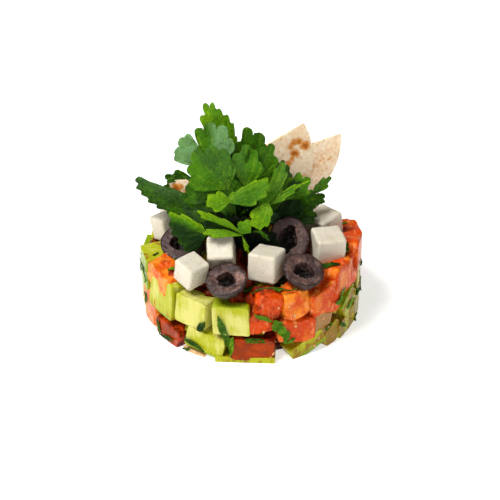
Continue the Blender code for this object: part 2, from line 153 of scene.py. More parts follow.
def doubled(bm: bmesh.types.BMesh) -> set[bmesh.types.BMVert]:
    """Close a sheet with a second side and return that side's vertices."""
    grown = bmesh.ops.extrude_face_region(bm, geom=bm.faces[:])
    return {item for item in grown["geom"] if isinstance(item, bmesh.types.BMVert)}


def finish_piece(
    name: str,
    bm: bmesh.types.BMesh,
    material: bpy.types.Material,
    replaces: Iterable[str] = (),
    sharp_degrees: float = 180.0,
) -> bpy.types.Object:
    """Turn a bmesh into a piece of the salad that rides on its only body.

    Args:
        name: the piece's name.
        bm: its mesh, which is freed.
        material: its finish.
        replaces: the frame's nodes that it stands for.
        sharp_degrees: edges steeper than this stay sharp in the shading.

    Returns:
        The new object.
    """
    bmesh.ops.recalc_face_normals(bm, faces=bm.faces)
    mesh = as_mesh(name, bm)
    mesh.materials.append(material)
    mesh.shade_smooth()
    if sharp_degrees < 180.0:
        mesh.set_sharp_from_angle(angle=math.radians(sharp_degrees))
    piece = put(name, mesh)
    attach(piece, "root")
    if replaces:
        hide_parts(*replaces)
    mesh.calc_loop_triangles()
    LOG.info("%s: %d triangles", name, len(mesh.loop_triangles))
    return piece


def unit_block(cuts: int) -> bpy.types.Mesh:
    """Return the mesh of a cube of edge 1 whose faces are cut into a fine grid."""
    bm = bmesh.new()
    bmesh.ops.create_cube(bm, size=1.0)
    bmesh.ops.subdivide_edges(bm, edges=bm.edges[:], cuts=cuts, use_grid_fill=True)
    return as_mesh("unit_block", bm)


def append_mesh(bm: bmesh.types.BMesh, mesh: bpy.types.Mesh) -> list[bmesh.types.BMVert]:
    """Add a copy of a mesh to a bmesh and return the copy's vertices."""
    count = len(bm.verts)
    bm.from_mesh(mesh)
    bm.verts.ensure_lookup_table()
    return bm.verts[count:]


def rounded(point: Vector, size: Vector, radius: float) -> Vector:
    """Pull a point of a box's surface onto the box with round edges.

    Args:
        point: a point on the box, measured from its middle.
        size: the box's whole width, depth and height.
        radius: how round its edges are.

    Returns:
        The point on the rounded box.
    """
    inner = Vector(
        min(max(point[axis], radius - 0.5 * size[axis]), 0.5 * size[axis] - radius)
        for axis in range(3))
    off = point - inner
    return inner + off.normalized() * radius if off.length > 1e-9 else point


# ---------------------------------------------------------------- finishes

class NodeSheet:
    """A node tree being drawn up."""

    def __init__(self, tree: bpy.types.NodeTree) -> None:
        """Start on a tree."""
        self.tree = tree

    def add(self, kind: str, **settings: object) -> bpy.types.Node:
        """Add a node and set its properties."""
        node = self.tree.nodes.new(kind)
        for name, value in settings.items():
            setattr(node, name, value)
        return node

    def feed(self, socket: bpy.types.NodeSocket, value: object) -> None:
        """Link a socket to a source, or set it to a plain value."""
        if isinstance(value, bpy.types.NodeSocket):
            self.tree.links.new(value, socket)
        elif isinstance(value, tuple) and socket.type == "RGBA":
            socket.default_value = (*value, 1.0)
        else:
            socket.default_value = value

    def dress(self, node: bpy.types.Node, **values: object) -> None:
        """Feed a node's sockets by name, with "_" for each space."""
        for name, value in values.items():
            self.feed(node.inputs[name.replace("_", " ")], value)

    def place(self) -> bpy.types.NodeSocket:
        """Return the place on the object."""
        return self.add("ShaderNodeTexCoord").outputs["Object"]

    def stretched(self, source: bpy.types.NodeSocket, scale: Triple) -> bpy.types.NodeSocket:
        """Return a place stretched by a scale along each axis."""
        node = self.add("ShaderNodeMapping")
        self.dress(node, Vector=source, Scale=scale)
        return node.outputs["Vector"]

    def attribute(self, name: str) -> bpy.types.NodeSocket:
        """Return a number stored on the mesh."""
        return self.add("ShaderNodeAttribute", attribute_name=name).outputs["Fac"]

    def noise(self, source: bpy.types.NodeSocket, scale: object, detail: float = 3.0,
              rough: float = 0.55, distortion: float = 0.0) -> bpy.types.NodeSocket:
        """Return soft noise from 0 to 1.

        Args:
            source: the place to read it at.
            scale: how many bumps fit in a metre.
            detail: how many finer layers it has.
            rough: how strong the finer layers are.
            distortion: how far it is swirled.

        Returns:
            The noise's socket.
        """
        node = self.add("ShaderNodeTexNoise")
        self.dress(node, Vector=source, Scale=scale, Detail=detail, Roughness=rough,
                   Distortion=distortion)
        return node.outputs["Fac"]

    def cells(self, source: bpy.types.NodeSocket, scale: object) -> bpy.types.NodeSocket:
        """Return the distance to the nearest of many scattered points."""
        node = self.add("ShaderNodeTexVoronoi")
        self.dress(node, Vector=source, Scale=scale)
        return node.outputs["Distance"]

    def band(self, value: object, low: object, high: object, bottom: float = 0.0,
             top: float = 1.0) -> bpy.types.NodeSocket:
        """Return a value eased from one range to another.

        Args:
            value: the value's socket.
            low: the value that gives the bottom.
            high: the value that gives the top.
            bottom: the result at low and before it.
            top: the result at high and past it.

        Returns:
            The eased value's socket.
        """
        node = self.add("ShaderNodeMapRange", interpolation_type="SMOOTHSTEP")
        for socket, number in zip(node.inputs[:5], (value, low, high, bottom, top)):
            self.feed(socket, number)
        return node.outputs[0]

    def sum(self, kind: str, first: object, second: object = 0.0) -> bpy.types.NodeSocket:
        """Return a sum, a product or another operation on two values."""
        node = self.add("ShaderNodeMath", operation=kind)
        self.feed(node.inputs[0], first)
        self.feed(node.inputs[1], second)
        return node.outputs[0]

    def shifted(self, value: object, source: object, low: float, high: float,
                bottom: float, top: float) -> bpy.types.NodeSocket:
        """Return a value plus a source that is eased to a range, as in band."""
        return self.sum("ADD", value, self.band(source, low, high, bottom, top))

    def mix(self, share: object, first: object, second: object) -> bpy.types.NodeSocket:
        """Return a mix of two colours, of which the share is the second."""
        node = self.add("ShaderNodeMix", data_type="RGBA")
        for index, value in zip(MIX_SOCKETS, (share, first, second)):
            self.feed(node.inputs[index], value)
        return node.outputs[MIXED_COLOUR]

    def ramp(self, value: object, low: float, high: float, first: object,
             second: object) -> bpy.types.NodeSocket:
        """Return a colour that turns from a first to a second between two values."""
        return self.mix(self.band(value, low, high), first, second)

    def bump(self, height: bpy.types.NodeSocket, depth: float,
             normal: bpy.types.NodeSocket | None = None) -> bpy.types.NodeSocket:
        """Return the normal of a relief.

        Args:
            height: the relief from 0 to 1.
            depth: how deep it is, in metres.
            normal: a coarser relief that this one lies on.

        Returns:
            The normal's socket.
        """
        node = self.add("ShaderNodeBump")
        self.dress(node, Distance=depth, Height=height)
        if normal is not None:
            self.dress(node, Normal=normal)
        return node.outputs["Normal"]

    def group(self, tree: bpy.types.NodeTree, **values: object) -> bpy.types.Node:
        """Add a node group and feed its sockets."""
        node = self.add("ShaderNodeGroup", node_tree=tree)
        for name, value in values.items():
            self.feed(node.inputs[name.replace("_", " ").capitalize()], value)
        return node


def new_group(name: str, inputs: Sequence[tuple[str, str, float]],
              outputs: Sequence[tuple[str, str]]) -> tuple[NodeSheet, dict, dict]:
    """Start a shader node group.

    Args:
        name: the group's name.
        inputs: name, socket type and default of each input.
        outputs: name and socket type of each output.

    Returns:
        Its sheet, its inputs' sockets by name and its outputs' sockets by name.
    """
    tree = bpy.data.node_groups.new(name, "ShaderNodeTree")
    for label, kind, default in inputs:
        socket = tree.interface.new_socket(name=label, in_out="INPUT", socket_type=kind)
        socket.default_value = default
    for label, kind in outputs:
        tree.interface.new_socket(name=label, in_out="OUTPUT", socket_type=kind)
    sheet = NodeSheet(tree)
    entry = sheet.add("NodeGroupInput")
    leave = sheet.add("NodeGroupOutput")
    return sheet, dict(entry.outputs.items()), dict(leave.inputs.items())


def build_mottle() -> bpy.types.NodeTree:
    """Build the group that gives soft blotches: a mask from 0 to 1 with some contrast."""
    sheet, entry, leave = new_group(
        "mottle",
        [("Scale", "NodeSocketFloat", 200.0), ("Contrast", "NodeSocketFloat", 0.5)],
        [("Mask", "NodeSocketFloat")],
    )
    half = sheet.sum("MULTIPLY", sheet.sum("SUBTRACT", 1.0, entry["Contrast"]), 0.5)
    sheet.feed(leave["Mask"], sheet.band(
        sheet.noise(sheet.place(), entry["Scale"], 4.0, 0.5),
        sheet.sum("SUBTRACT", 0.5, half), sheet.sum("ADD", 0.5, half)))
    return sheet.tree


def build_rind() -> bpy.types.NodeTree:
    """Build the group that turns the depth below the skin into masks for skin and rind."""
    sheet, entry, leave = new_group(
        "rind",
        [("Skin depth", "NodeSocketFloat", 0.4), ("Rind depth", "NodeSocketFloat", 1.6)],
        [("Skin", "NodeSocketFloat"), ("Rind", "NodeSocketFloat")],
    )
    wobble = sheet.sum("MULTIPLY", sheet.noise(sheet.place(), 500.0), 0.5)
    depth = sheet.sum("ADD", sheet.attribute("rind"), wobble)
    for label, limit in (("Skin", "Skin depth"), ("Rind", "Rind depth")):
        share = sheet.sum("DIVIDE", depth, entry[limit])
        sheet.feed(leave[label], sheet.band(share, 0.7, 1.3, 1.0, 0.0))
    return sheet.tree


def build_pitting() -> bpy.types.NodeTree:
    """Build the group that scatters small round pits or specks: a mask from 0 to 1."""
    sheet, entry, leave = new_group(
        "pitting",
        [("Scale", "NodeSocketFloat", 800.0), ("Size", "NodeSocketFloat", 0.3)],
        [("Mask", "NodeSocketFloat")],
    )
    patches = sheet.band(sheet.noise(sheet.place(), 140.0, 2.0), 0.45, 0.62)
    share = sheet.sum("DIVIDE", sheet.cells(sheet.place(), entry["Scale"]), entry["Size"])
    dots = sheet.band(share, 0.5, 1.0, 1.0, 0.0)
    sheet.feed(leave["Mask"], sheet.sum("MULTIPLY", dots, patches))
    return sheet.tree


@dataclass(frozen=True)
class Effects:
    """The node groups that several finishes share."""

    mottle: bpy.types.NodeTree
    rind: bpy.types.NodeTree
    pitting: bpy.types.NodeTree

    @classmethod
    def build(cls) -> Effects:
        """Build each group once."""
        return cls(build_mottle(), build_rind(), build_pitting())

    def blotch(self, sheet: NodeSheet, scale: float, contrast: float) -> bpy.types.NodeSocket:
        """Return a mask of soft blotches."""
        return sheet.group(self.mottle, scale=scale, contrast=contrast).outputs["Mask"]

    def specks(self, sheet: NodeSheet, scale: float, size: float) -> bpy.types.NodeSocket:
        """Return a mask of small round specks."""
        return sheet.group(self.pitting, scale=scale, size=size).outputs["Mask"]


def start_material(name: str) -> tuple[bpy.types.Material, NodeSheet, bpy.types.Node]:
    """Return a new material, its sheet and its Principled shader."""
    material = bpy.data.materials.new(name)
    material.use_nodes = True
    sheet = NodeSheet(material.node_tree)
    return material, sheet, material.node_tree.nodes["Principled BSDF"]


def wet_spots(sheet: NodeSheet, shader: bpy.types.Node) -> None:
    """Coat a cut face with juice here and there.

    Args:
        sheet: the material's sheet.
        shader: its shader.
    """
    place = sheet.place()
    sheet.dress(shader, Coat_Roughness=0.1,
                Coat_Weight=sheet.band(sheet.noise(place, 420.0, 3.0), 0.6, 0.68, 0.0, 0.6),
                Coat_Normal=sheet.bump(sheet.noise(place, 700.0, 2.0), 0.5 * MM))


@dataclass(frozen=True)
class CucumberFinish:
    """Wet cut cucumber: pale flesh, greener towards the peel, with a dark peel."""

    green_depth: float = 8.5

    pale: Colour = srgb(206, 200, 112)
    lime: Colour = srgb(170, 172, 24)
    # olive cucumber for the darkest tones, which also paint the shade in the chinks
    olive: Colour = srgb(146, 112, 20)
    rind: Colour = srgb(134, 156, 12)
    peel: Colour = srgb(58, 86, 6)

    def build(self, effects: Effects) -> bpy.types.Material:
        """Build the material."""
        material, sheet, shader = start_material("cucumber")
        place = sheet.place()
        blotch = effects.blotch(sheet, 170.0, 0.45)
        fibres = sheet.noise(sheet.stretched(place, (1.0, 1.0, 0.22)), 620.0, 4.0)
        bands = sheet.noise(sheet.stretched(place, (1.0, 1.0, 0.12)), 230.0, 2.0)
        share = sheet.shifted(sheet.attribute("tone"), blotch, 0.0, 1.0, -0.22, 0.2)
        share = sheet.shifted(share, fibres, 0.3, 0.7, -0.16, 0.16)
        share = sheet.shifted(share, bands, 0.35, 0.65, -0.2, 0.2)
        share = sheet.shifted(share, sheet.attribute("rind"), 1.0, self.green_depth, 0.5, 0.0)
        flesh = sheet.ramp(share, 0.0, 0.75, self.pale, self.lime)
        flesh = sheet.ramp(share, 0.9, 1.3, flesh, self.olive)
        rind = sheet.group(effects.rind, skin_depth=0.45, rind_depth=1.9)
        flesh = sheet.mix(rind.outputs["Rind"], flesh, self.rind)
        flesh = sheet.mix(rind.outputs["Skin"], flesh, self.peel)
        relief = sheet.bump(sheet.noise(place, 1500.0, 2.0), 0.06 * MM,
                            sheet.bump(fibres, 0.35 * MM))
        sheet.dress(shader, Base_Color=flesh, Normal=relief,
                    Roughness=sheet.band(sheet.noise(place, 900.0), 0.35, 0.65, 0.14, 0.42),
                    Subsurface_Weight=0.25, Subsurface_Radius=(1.0, 1.0, 0.3),
                    Subsurface_Scale=1.6 * MM, Specular_IOR_Level=0.12)
        wet_spots(sheet, shader)
        return material


@dataclass(frozen=True)
class TomatoFinish:
    """Wet cut tomato: grainy flesh with pale fibres that are partly a painted highlight,
    blotches that are partly painted sheen, and a smooth skin.
    """

    # the darkest red, partly real and partly painted shade in the chinks and inside the drum
    deep: Colour = srgb(96, 20, 2)
    red: Colour = srgb(204, 66, 4)
    orange: Colour = srgb(238, 138, 34)
    # pale fibres, partly a painted pinkish highlight
    fibre_and_highlight: Colour = srgb(246, 158, 96)
    skin: Colour = srgb(156, 58, 0)

    def build(self, effects: Effects) -> bpy.types.Material:
        """Build the material."""
        material, sheet, shader = start_material("tomato")
        place = sheet.place()
        tone = sheet.attribute("tone")
        grain = sheet.noise(place, 1100.0, 4.0, 0.65)
        # blotches that are partly painted sheen: soft lighter patches across the flesh
        share = sheet.shifted(tone, effects.blotch(sheet, 190.0, 0.6), 0.0, 1.0, -0.16, 0.24)
        share = sheet.shifted(share, grain, 0.3, 0.7, -0.06, 0.06)
        flesh = sheet.ramp(share, 0.0, 0.45, self.deep, self.red)
        flesh = sheet.ramp(share, 0.55, 1.1, flesh, self.orange)
        # pale fibres, partly a painted highlight on the cut flesh
        strands = sheet.noise(sheet.stretched(place, (1.0, 1.0, 0.45)), 520.0, 4.0, 0.6, 0.6)
        pale = sheet.sum("MULTIPLY", sheet.band(strands, 0.52, 0.72, 0.0, 0.75),
                         sheet.band(tone, 0.1, 0.5))
        flesh = sheet.mix(pale, flesh, self.fibre_and_highlight)
        skin = sheet.group(effects.rind, skin_depth=0.5, rind_depth=1.4).outputs["Skin"]
        damp = sheet.band(sheet.noise(place, 800.0), 0.35, 0.65, 0.14, 0.4)
        relief = sheet.sum("MULTIPLY", sheet.noise(place, 480.0, 4.0, 0.6),
                           sheet.sum("SUBTRACT", 1.0, skin))
        sheet.dress(shader, Roughness=sheet.mix(skin, damp, (0.16, 0.16, 0.16)),
                    Base_Color=sheet.mix(skin, flesh, sheet.mix(0.6, flesh, self.skin)),
                    Normal=sheet.bump(relief, 0.6 * MM), Specular_IOR_Level=0.1,
                    Subsurface_Weight=0.2, Subsurface_Radius=(1.0, 0.3, 0.08),
                    Subsurface_Scale=1.8 * MM)
        wet_spots(sheet, shader)
        return material


@dataclass(frozen=True)
class OnionFinish:
    """A clear, wet slip of onion, browner where it is soaked."""

    clear: Colour = srgb(226, 200, 150)
    vein: Colour = srgb(176, 120, 66)
    soaked: Colour = srgb(150, 100, 18)

    def build(self, effects: Effects) -> bpy.types.Material:
        """Build the material."""
        material, sheet, shader = start_material("onion")
        colour = sheet.mix(effects.blotch(sheet, 300.0, 0.4), self.vein, self.clear)
        soak = sheet.band(sheet.attribute("tone"), 0.0, 0.2, 0.85, 0.0)
        rings = sheet.noise(sheet.stretched(sheet.place(), (1.0, 1.0, 0.3)), 700.0)
        sheet.dress(shader, Base_Color=sheet.mix(soak, colour, self.soaked),
                    Normal=sheet.bump(rings, 0.3 * MM), Roughness=0.18,
                    Subsurface_Weight=0.5, Subsurface_Radius=(1.0, 0.8, 0.5),
                    Subsurface_Scale=2.5 * MM, Specular_IOR_Level=0.2, Coat_Weight=0.12,
                    Coat_Roughness=0.08)
        return material


@dataclass(frozen=True)
class ShadedCoreFinish:
    """The wet inside of the drum that shows between the dice, dark red with painted shade."""

    # painted shade: near-black reds for the shade in the chinks
    dark: Colour = srgb(40, 8, 2)
    light: Colour = srgb(96, 26, 4)

    def build(self, effects: Effects) -> bpy.types.Material:
        """Build the material."""
        material, sheet, shader = start_material("shaded_core")
        colour = sheet.mix(effects.blotch(sheet, 220.0, 0.6), self.dark, self.light)
        relief = sheet.bump(sheet.noise(sheet.place(), 420.0, 4.0), 1.0 * MM)
        sheet.dress(shader, Base_Color=colour, Normal=relief, Roughness=0.3,
                    Specular_IOR_Level=0.12)
        return material


@dataclass(frozen=True)
class FetaFinish:
    """Crumbly white cheese with fine pores."""

    curd: Colour = srgb(213, 205, 188)
    cream: Colour = srgb(202, 191, 168)
    pore: Colour = srgb(176, 160, 132)

    def build(self, effects: Effects) -> bpy.types.Material:
        """Build the material."""
        material, sheet, shader = start_material("feta")
        place = sheet.place()
        pores = effects.specks(sheet, 1100.0, 0.34)
        curd = sheet.mix(effects.blotch(sheet, 150.0, 0.2), self.curd, self.cream)
        curds = sheet.bump(sheet.noise(place, 700.0, 4.0, 0.6), 0.16 * MM)
        solid = sheet.sum("SUBTRACT", 1.0, pores)
        sheet.dress(shader, Normal=sheet.bump(solid, 0.18 * MM, curds), Roughness=0.5,
                    Base_Color=sheet.mix(sheet.sum("MULTIPLY", pores, 0.55), curd, self.pore),
                    Subsurface_Weight=0.35, Subsurface_Radius=(1.0, 0.9, 0.72),
                    Subsurface_Scale=1.2 * MM, Specular_IOR_Level=0.35)
        return material


@dataclass(frozen=True)
class OliveFinish:
    """A black olive: glossy wrinkled skin, dull purple-brown flesh partly lit by a painted
    highlight, and a hollow darkened with painted shade.
    """

    skin: Colour = srgb(40, 22, 20)
    flesh: Colour = srgb(56, 36, 34)
    # pale flesh, partly real patches and partly a painted highlight on the lit side of a cut face
    pale: Colour = srgb(142, 106, 92)
    # painted shade: the dark of the stone's hollow, deepest down in it
    hollow: Colour = srgb(22, 12, 9)

    def build(self, effects: Effects) -> bpy.types.Material:
        """Build the material."""
        material, sheet, shader = start_material("black_olive")
        place = sheet.place()
        cut = sheet.attribute("cut")
        pit = sheet.attribute("pit")
        coarse = sheet.band(effects.blotch(sheet, 210.0, 0.4), 0.2, 1.0)
        fine = sheet.band(effects.blotch(sheet, 900.0, 0.5), 0.0, 1.0, 0.25, 0.85)
        # partly painted highlight: the pale patches are scaled up on each olive's lit side
        share = sheet.sum("MULTIPLY", sheet.sum("MULTIPLY", coarse, fine),
                          sheet.attribute("pallor_and_highlight"))
        flesh = sheet.mix(share, self.flesh, self.pale)
        # painted shade: darken towards the bottom of the hollow
        colour = sheet.mix(pit, sheet.mix(cut, self.skin, flesh), self.hollow)
        wrinkles = sheet.noise(place, 480.0, 3.0, 0.6, 0.4)
        grain = sheet.bump(sheet.noise(place, 1100.0, 3.0), 0.34 * MM)
        sheet.dress(shader, Base_Color=colour, Roughness=sheet.band(cut, 0.0, 1.0, 0.2, 0.45),
                    Normal=sheet.bump(wrinkles, 0.6 * MM, grain), Specular_IOR_Level=0.35)
        return material


@dataclass(frozen=True)
class FlatbreadFinish:
    """Dry flatbread: cream crumb with tan specks and toasted blisters."""

    crumb: Colour = srgb(255, 241, 214)
    tan: Colour = srgb(226, 172, 104)
    toast: Colour = srgb(214, 136, 48)
    char: Colour = srgb(162, 84, 22)

    def build(self, effects: Effects) -> bpy.types.Material:
        """Build the material."""
        material, sheet, shader = start_material("flatbread")
        place = sheet.place()
        share = sheet.sum("MULTIPLY", effects.blotch(sheet, 130.0, 0.4), 0.3)
        for mask, weight in ((effects.blotch(sheet, 620.0, 0.55), 0.4),
                             (effects.specks(sheet, 520.0, 0.4), 0.55)):
            share = sheet.sum("ADD", share, sheet.sum("MULTIPLY", mask, weight))
        ragged = sheet.shifted(sheet.attribute("toast"), sheet.noise(place, 420.0, 4.0),
                               0.3, 0.7, -0.2, 0.2)
        colour = sheet.mix(share, self.crumb, self.tan)
        colour = sheet.ramp(ragged, 0.12, 0.72, colour, self.toast)
        colour = sheet.mix(sheet.band(ragged, 0.66, 1.1, 0.0, 0.9), colour, self.char)
        relief = sheet.bump(sheet.noise(place, 420.0, 5.0, 0.6), 0.28 * MM)
        sheet.dress(shader, Base_Color=colour, Normal=relief, Roughness=0.75,
                    Subsurface_Weight=0.15, Subsurface_Radius=(1.0, 0.8, 0.5),
                    Subsurface_Scale=0.8 * MM, Specular_IOR_Level=0.25)
        return material


@dataclass(frozen=True)
class LeafFinish:
    """A fresh parsley leaf: lime to deep green, pale veins, a painted sheen on its back
    that is partly its paler back, and painted shade in its darkest tints.
    """

    # painted shade: the near-black green that tints below 0 turn to, for the shade deep in the
    # tuft
    painted_shade: Colour = srgb(2, 12, 0)
    deep: Colour = srgb(14, 46, 0)
    green: Colour = srgb(70, 126, 0)
    lime: Colour = srgb(150, 194, 0)
    # painted sheen: the grey-blue a glossy leaf shows where it reflects the white sky, partly the
    # paler back of a leaf
    pale_back_and_sheen: Colour = srgb(132, 178, 120)
    vein: Colour = srgb(150, 190, 40)
    glow: Colour = srgb(170, 214, 0)
    glow_share: float = 0.32

    def build(self, effects: Effects) -> bpy.types.Material:
        """Build the material."""
        material, sheet, shader = start_material("parsley_leaf")
        place = sheet.place()
        tint = sheet.shifted(sheet.attribute("tint"), effects.blotch(sheet, 150.0, 0.3),
                             0.0, 1.0, -0.1, 0.1)
        tint = sheet.shifted(tint, sheet.noise(place, 1000.0, 3.0), 0.3, 0.7, -0.07, 0.07)
        # painted shade: tints below 0 darken towards near-black
        colour = sheet.ramp(tint, -0.6, -0.1, self.painted_shade, self.deep)
        colour = sheet.ramp(tint, 0.0, 0.55, colour, self.green)
        colour = sheet.ramp(tint, 0.45, 1.05, colour, self.lime)
        # painted sheen: mix in the grey-blue reflection of the sky as colour, partly the paler
        # back of a leaf
        back_sheen_share = sheet.sum("MULTIPLY", sheet.attribute("pale_back_and_sheen"), sheet.band(
            sheet.noise(place, 300.0, 4.0), 0.25, 0.7, 0.6, 1.0))
        colour = sheet.mix(back_sheen_share, colour, self.pale_back_and_sheen)
        veins = self.draw_veins(sheet)
        net = sheet.cells(place, 620.0)
        colour = sheet.mix(sheet.sum("MULTIPLY", veins, sheet.band(
            tint, 0.0, 0.6, 0.0, 0.4)), colour, self.vein)
        puckers = sheet.bump(sheet.band(net, 0.0, 0.8, 1.0, 0.0), 0.2 * MM)
        sunk = sheet.sum("SUBTRACT", 1.0, veins)
        sheet.dress(shader, Base_Color=colour, Roughness=sheet.band(net, 0.1, 0.6, 0.42, 0.6),
                    Normal=sheet.bump(sunk, 0.14 * MM, puckers), Specular_IOR_Level=0.16)
        light = sheet.add("ShaderNodeBsdfTranslucent")
        sheet.dress(light, Color=sheet.mix(0.45, colour, self.glow))
        blend = sheet.add("ShaderNodeMixShader")
        for socket, value in zip(blend.inputs, (
                self.glow_share, shader.outputs[0], light.outputs[0])):
            sheet.feed(socket, value)
        sheet.dress(material.node_tree.nodes["Material Output"], Surface=blend.outputs[0])
        return material

    @staticmethod
    def draw_veins(sheet: NodeSheet) -> bpy.types.NodeSocket:
        """Draw the veins: one along each lobe, with finer ones that fork off it.

        Args:
            sheet: the material's sheet.

        Returns:
            A mask that is 1 on the veins.
        """
        reach = sheet.attribute("reach")
        wander = sheet.band(sheet.noise(sheet.place(), 260.0, 3.0), 0.25, 0.75, -0.35, 0.35)
        gap = sheet.sum("ABSOLUTE", sheet.sum("ADD", sheet.attribute("off"), wander))
        main = sheet.band(gap, 0.04, 0.27, 1.0, 0.0)
        steps = sheet.sum("SUBTRACT", sheet.sum("MULTIPLY", reach, 0.42),
                          sheet.sum("MULTIPLY", gap, 0.5))
        wave = sheet.sum("ABSOLUTE", sheet.sum("SUBTRACT", sheet.sum("FRACT", steps), 0.5))
        side = sheet.band(wave, 0.0, 0.13, 0.5, 0.0)
        return sheet.sum("MAXIMUM", main, side)


@dataclass(frozen=True)
class StalkFinish:
    """The smooth green stalk of parsley."""

    low: Colour = srgb(26, 54, 4)
    high: Colour = srgb(58, 92, 10)

    def build(self, effects: Effects) -> bpy.types.Material:
        """Build the material."""
        material, sheet, shader = start_material("parsley_stalk")
        ribs = sheet.noise(sheet.stretched(sheet.place(), (1.0, 1.0, 0.15)), 1800.0)
        sheet.dress(shader, Base_Color=sheet.mix(ribs, self.low, self.high), Roughness=0.4,
                    Normal=sheet.bump(ribs, 0.1 * MM), Specular_IOR_Level=0.15)
        return material


@dataclass(frozen=True)
class SeedFinish:
    """A tomato seed in its jelly."""

    seed: Colour = srgb(206, 158, 80)
    jelly: Colour = srgb(190, 96, 24)

    def build(self, effects: Effects) -> bpy.types.Material:
        """Build the material."""
        material, sheet, shader = start_material("tomato_seed")
        colour = sheet.mix(effects.blotch(sheet, 900.0, 0.4), self.jelly, self.seed)
        sheet.dress(shader, Base_Color=colour, Roughness=0.2, Subsurface_Weight=0.4,
                    Subsurface_Radius=(1.0, 0.7, 0.3), Subsurface_Scale=1.0 * MM,
                    Coat_Weight=0.6, Coat_Roughness=0.06)
        return material


# ---------------------------------------------------------------- the drum

class Kind(Enum):
    """What a diced piece is."""

    CUCUMBER = "cucumber"
    TOMATO = "tomato"
    ONION = "onion"


class Side(Enum):
    """Which side of a diced piece still has its peel or skin, by its axis and its sign."""

    NONE = (0, 0)
    OUT = (1, -1)
    LEFT = (0, -1)
    TOP = (2, 1)
    UNDER = (2, -1)


class Die(NamedTuple):
    """One diced piece at the drum's wall.

    It is placed by its bearing and the height of its middle.  Its tone runs from pale or
    dark flesh at 0 to olive cucumber or orange tomato at 1.  It says how much of its peel is
    cut off, and how far its outer side bulges.
    """

    bearing: float
    height: float
    width: float
    depth: float
    tall: float
    turn: Triple
    kind: Kind
    tone: float
    skin: Side = Side.NONE
    peeled: float = 0.0
    crown: float = 0.0


CUCUMBER = Kind.CUCUMBER
TOMATO = Kind.TOMATO
ONION = Kind.ONION

FRONT_DICE = (
    Die(-75, 25.5, 14.0, 13.0, 15.0, (0, 4, 8), CUCUMBER, 0.6, Side.OUT, 0.9, 0.8),
    Die(-76, 12.0, 12.0, 13.0, 14.0, (0, 3, -12), CUCUMBER, 0.55, Side.OUT, 0.8, 0.5),
    Die(-56, 27.8, 16.0, 13.0, 10.0, (4, 16, 12), TOMATO, 0.86),
    Die(-66, 10.0, 14.5, 12.0, 17.0, (0, -6, 10), TOMATO, 0.95, Side.OUT, 0.2, 0.1),
    Die(-52, 20.6, 16.0, 14.0, 18.0, (-8, 5, -6), CUCUMBER, 0.48, Side.UNDER, 1.0, 0.2),
    Die(-48, 5.0, 15.0, 12.0, 9.5, (4, 10, 0), TOMATO, 0.06, Side.OUT, 0.0, 0.2),
    Die(-31, 19.6, 14.4, 18.0, 13.4, (-6, 4, -6), CUCUMBER, 0.22, Side.NONE, 0.0, 2.4),
    Die(-10.5, 19.6, 15.5, 15.0, 13.4, (-4, -2, 4), CUCUMBER, 0.26, Side.TOP, 1.5, 0.2),
    Die(-24, 7.5, 17.5, 11.0, 9.5, (6, 14, 4), CUCUMBER, 0.42, Side.UNDER, 0.6),
    Die(1, 6.2, 18.5, 12.0, 10.0, (0, 0, 0), TOMATO, 0.1, Side.OUT, 0.0, 0.2),
    Die(8.5, 26.5, 11.5, 11.0, 11.0, (8, 10, 16), TOMATO, 0.3),
    Die(23, 25.0, 12.5, 12.0, 12.5, (-6, -10, 24), TOMATO, 0.78),
    Die(4.5, 19.0, 11.5, 11.0, 9.0, (6, -10, 4), TOMATO, 0.36),
    Die(24, 13.0, 16.5, 11.0, 10.5, (-4, 6, -6), TOMATO, 0.56),
    Die(42, 23.0, 16.5, 14.0, 14.5, (4, -8, -10), TOMATO, 0.6),
    Die(57, 27.6, 18.0, 14.0, 14.0, (-14, 4, 8), TOMATO, 0.64),
    Die(38, 12.8, 9.5, 10.0, 10.0, (4, 10, 12), ONION, 0.0),
    Die(-30, 0.9, 10.0, 6.0, 1.6, (0, 8, 0), ONION, 0.5),
    Die(46, 4.8, 11.0, 11.0, 9.5, (4, -30, 6), CUCUMBER, 1.3),
    Die(30, 4.2, 17.0, 9.0, 7.0, (0, -24, 0), CUCUMBER, 0.78, Side.UNDER, 0.0, 0.0),
    Die(60, 4.5, 16.0, 11.0, 9.5, (0, -12, 6), CUCUMBER, 1.25),
    Die(61, 15.0, 13.0, 12.0, 9.0, (4, -34, 6), CUCUMBER, 0.85, Side.TOP, 0.4, 0.0),
    Die(76, 7.0, 13.0, 12.0, 13.0, (0, 6, -8), CUCUMBER, 1.2),
    Die(79, 20.5, 14.0, 12.0, 12.0, (-4, -4, 12), CUCUMBER, 1.2),
    Die(94, 10.0, 14.0, 12.0, 14.0, (0, -4, 4), CUCUMBER, 1.2, Side.OUT, 0.7, 0.4),
    Die(98, 27.5, 16.0, 12.0, 16.0, (2, 3, -4), TOMATO, 0.5, Side.OUT, 0.9, 0.6),
    Die(78, 31.5, 14.0, 12.0, 13.0, (2, 8, 4), TOMATO, 0.62),
    Die(-3, 1.3, 25.0, 11.0, 2.6, (0, 0, 0), CUCUMBER, 1.0),
)
BACK_ROWS = (7.5, 20.0)         # heights of the rows round the back
BACK_BEARINGS = (104.0, 280.0)  # from the last of the front dice round to the first
BACK_STEP = 19.5                # degrees from one to the next
BACK_SIZES = (12.5, 15.5)
BACK_TILT = 10.0
CUCUMBER_SIDE = 250.0           # the back's dice are all cucumber from this bearing on
KIND_ODDS = {TOMATO: 0.52, CUCUMBER: 0.46, ONION: 0.02}
SIDE_CHOICES = (Side.NONE, Side.OUT, Side.OUT, Side.TOP, Side.LEFT)
PEELED_CHOICES = (0.0, 0.5, 0.8)
TONES = (0.2, 0.75)
DIE_SINK = 0.42                 # how far in from the mould a middle lies, in its depths
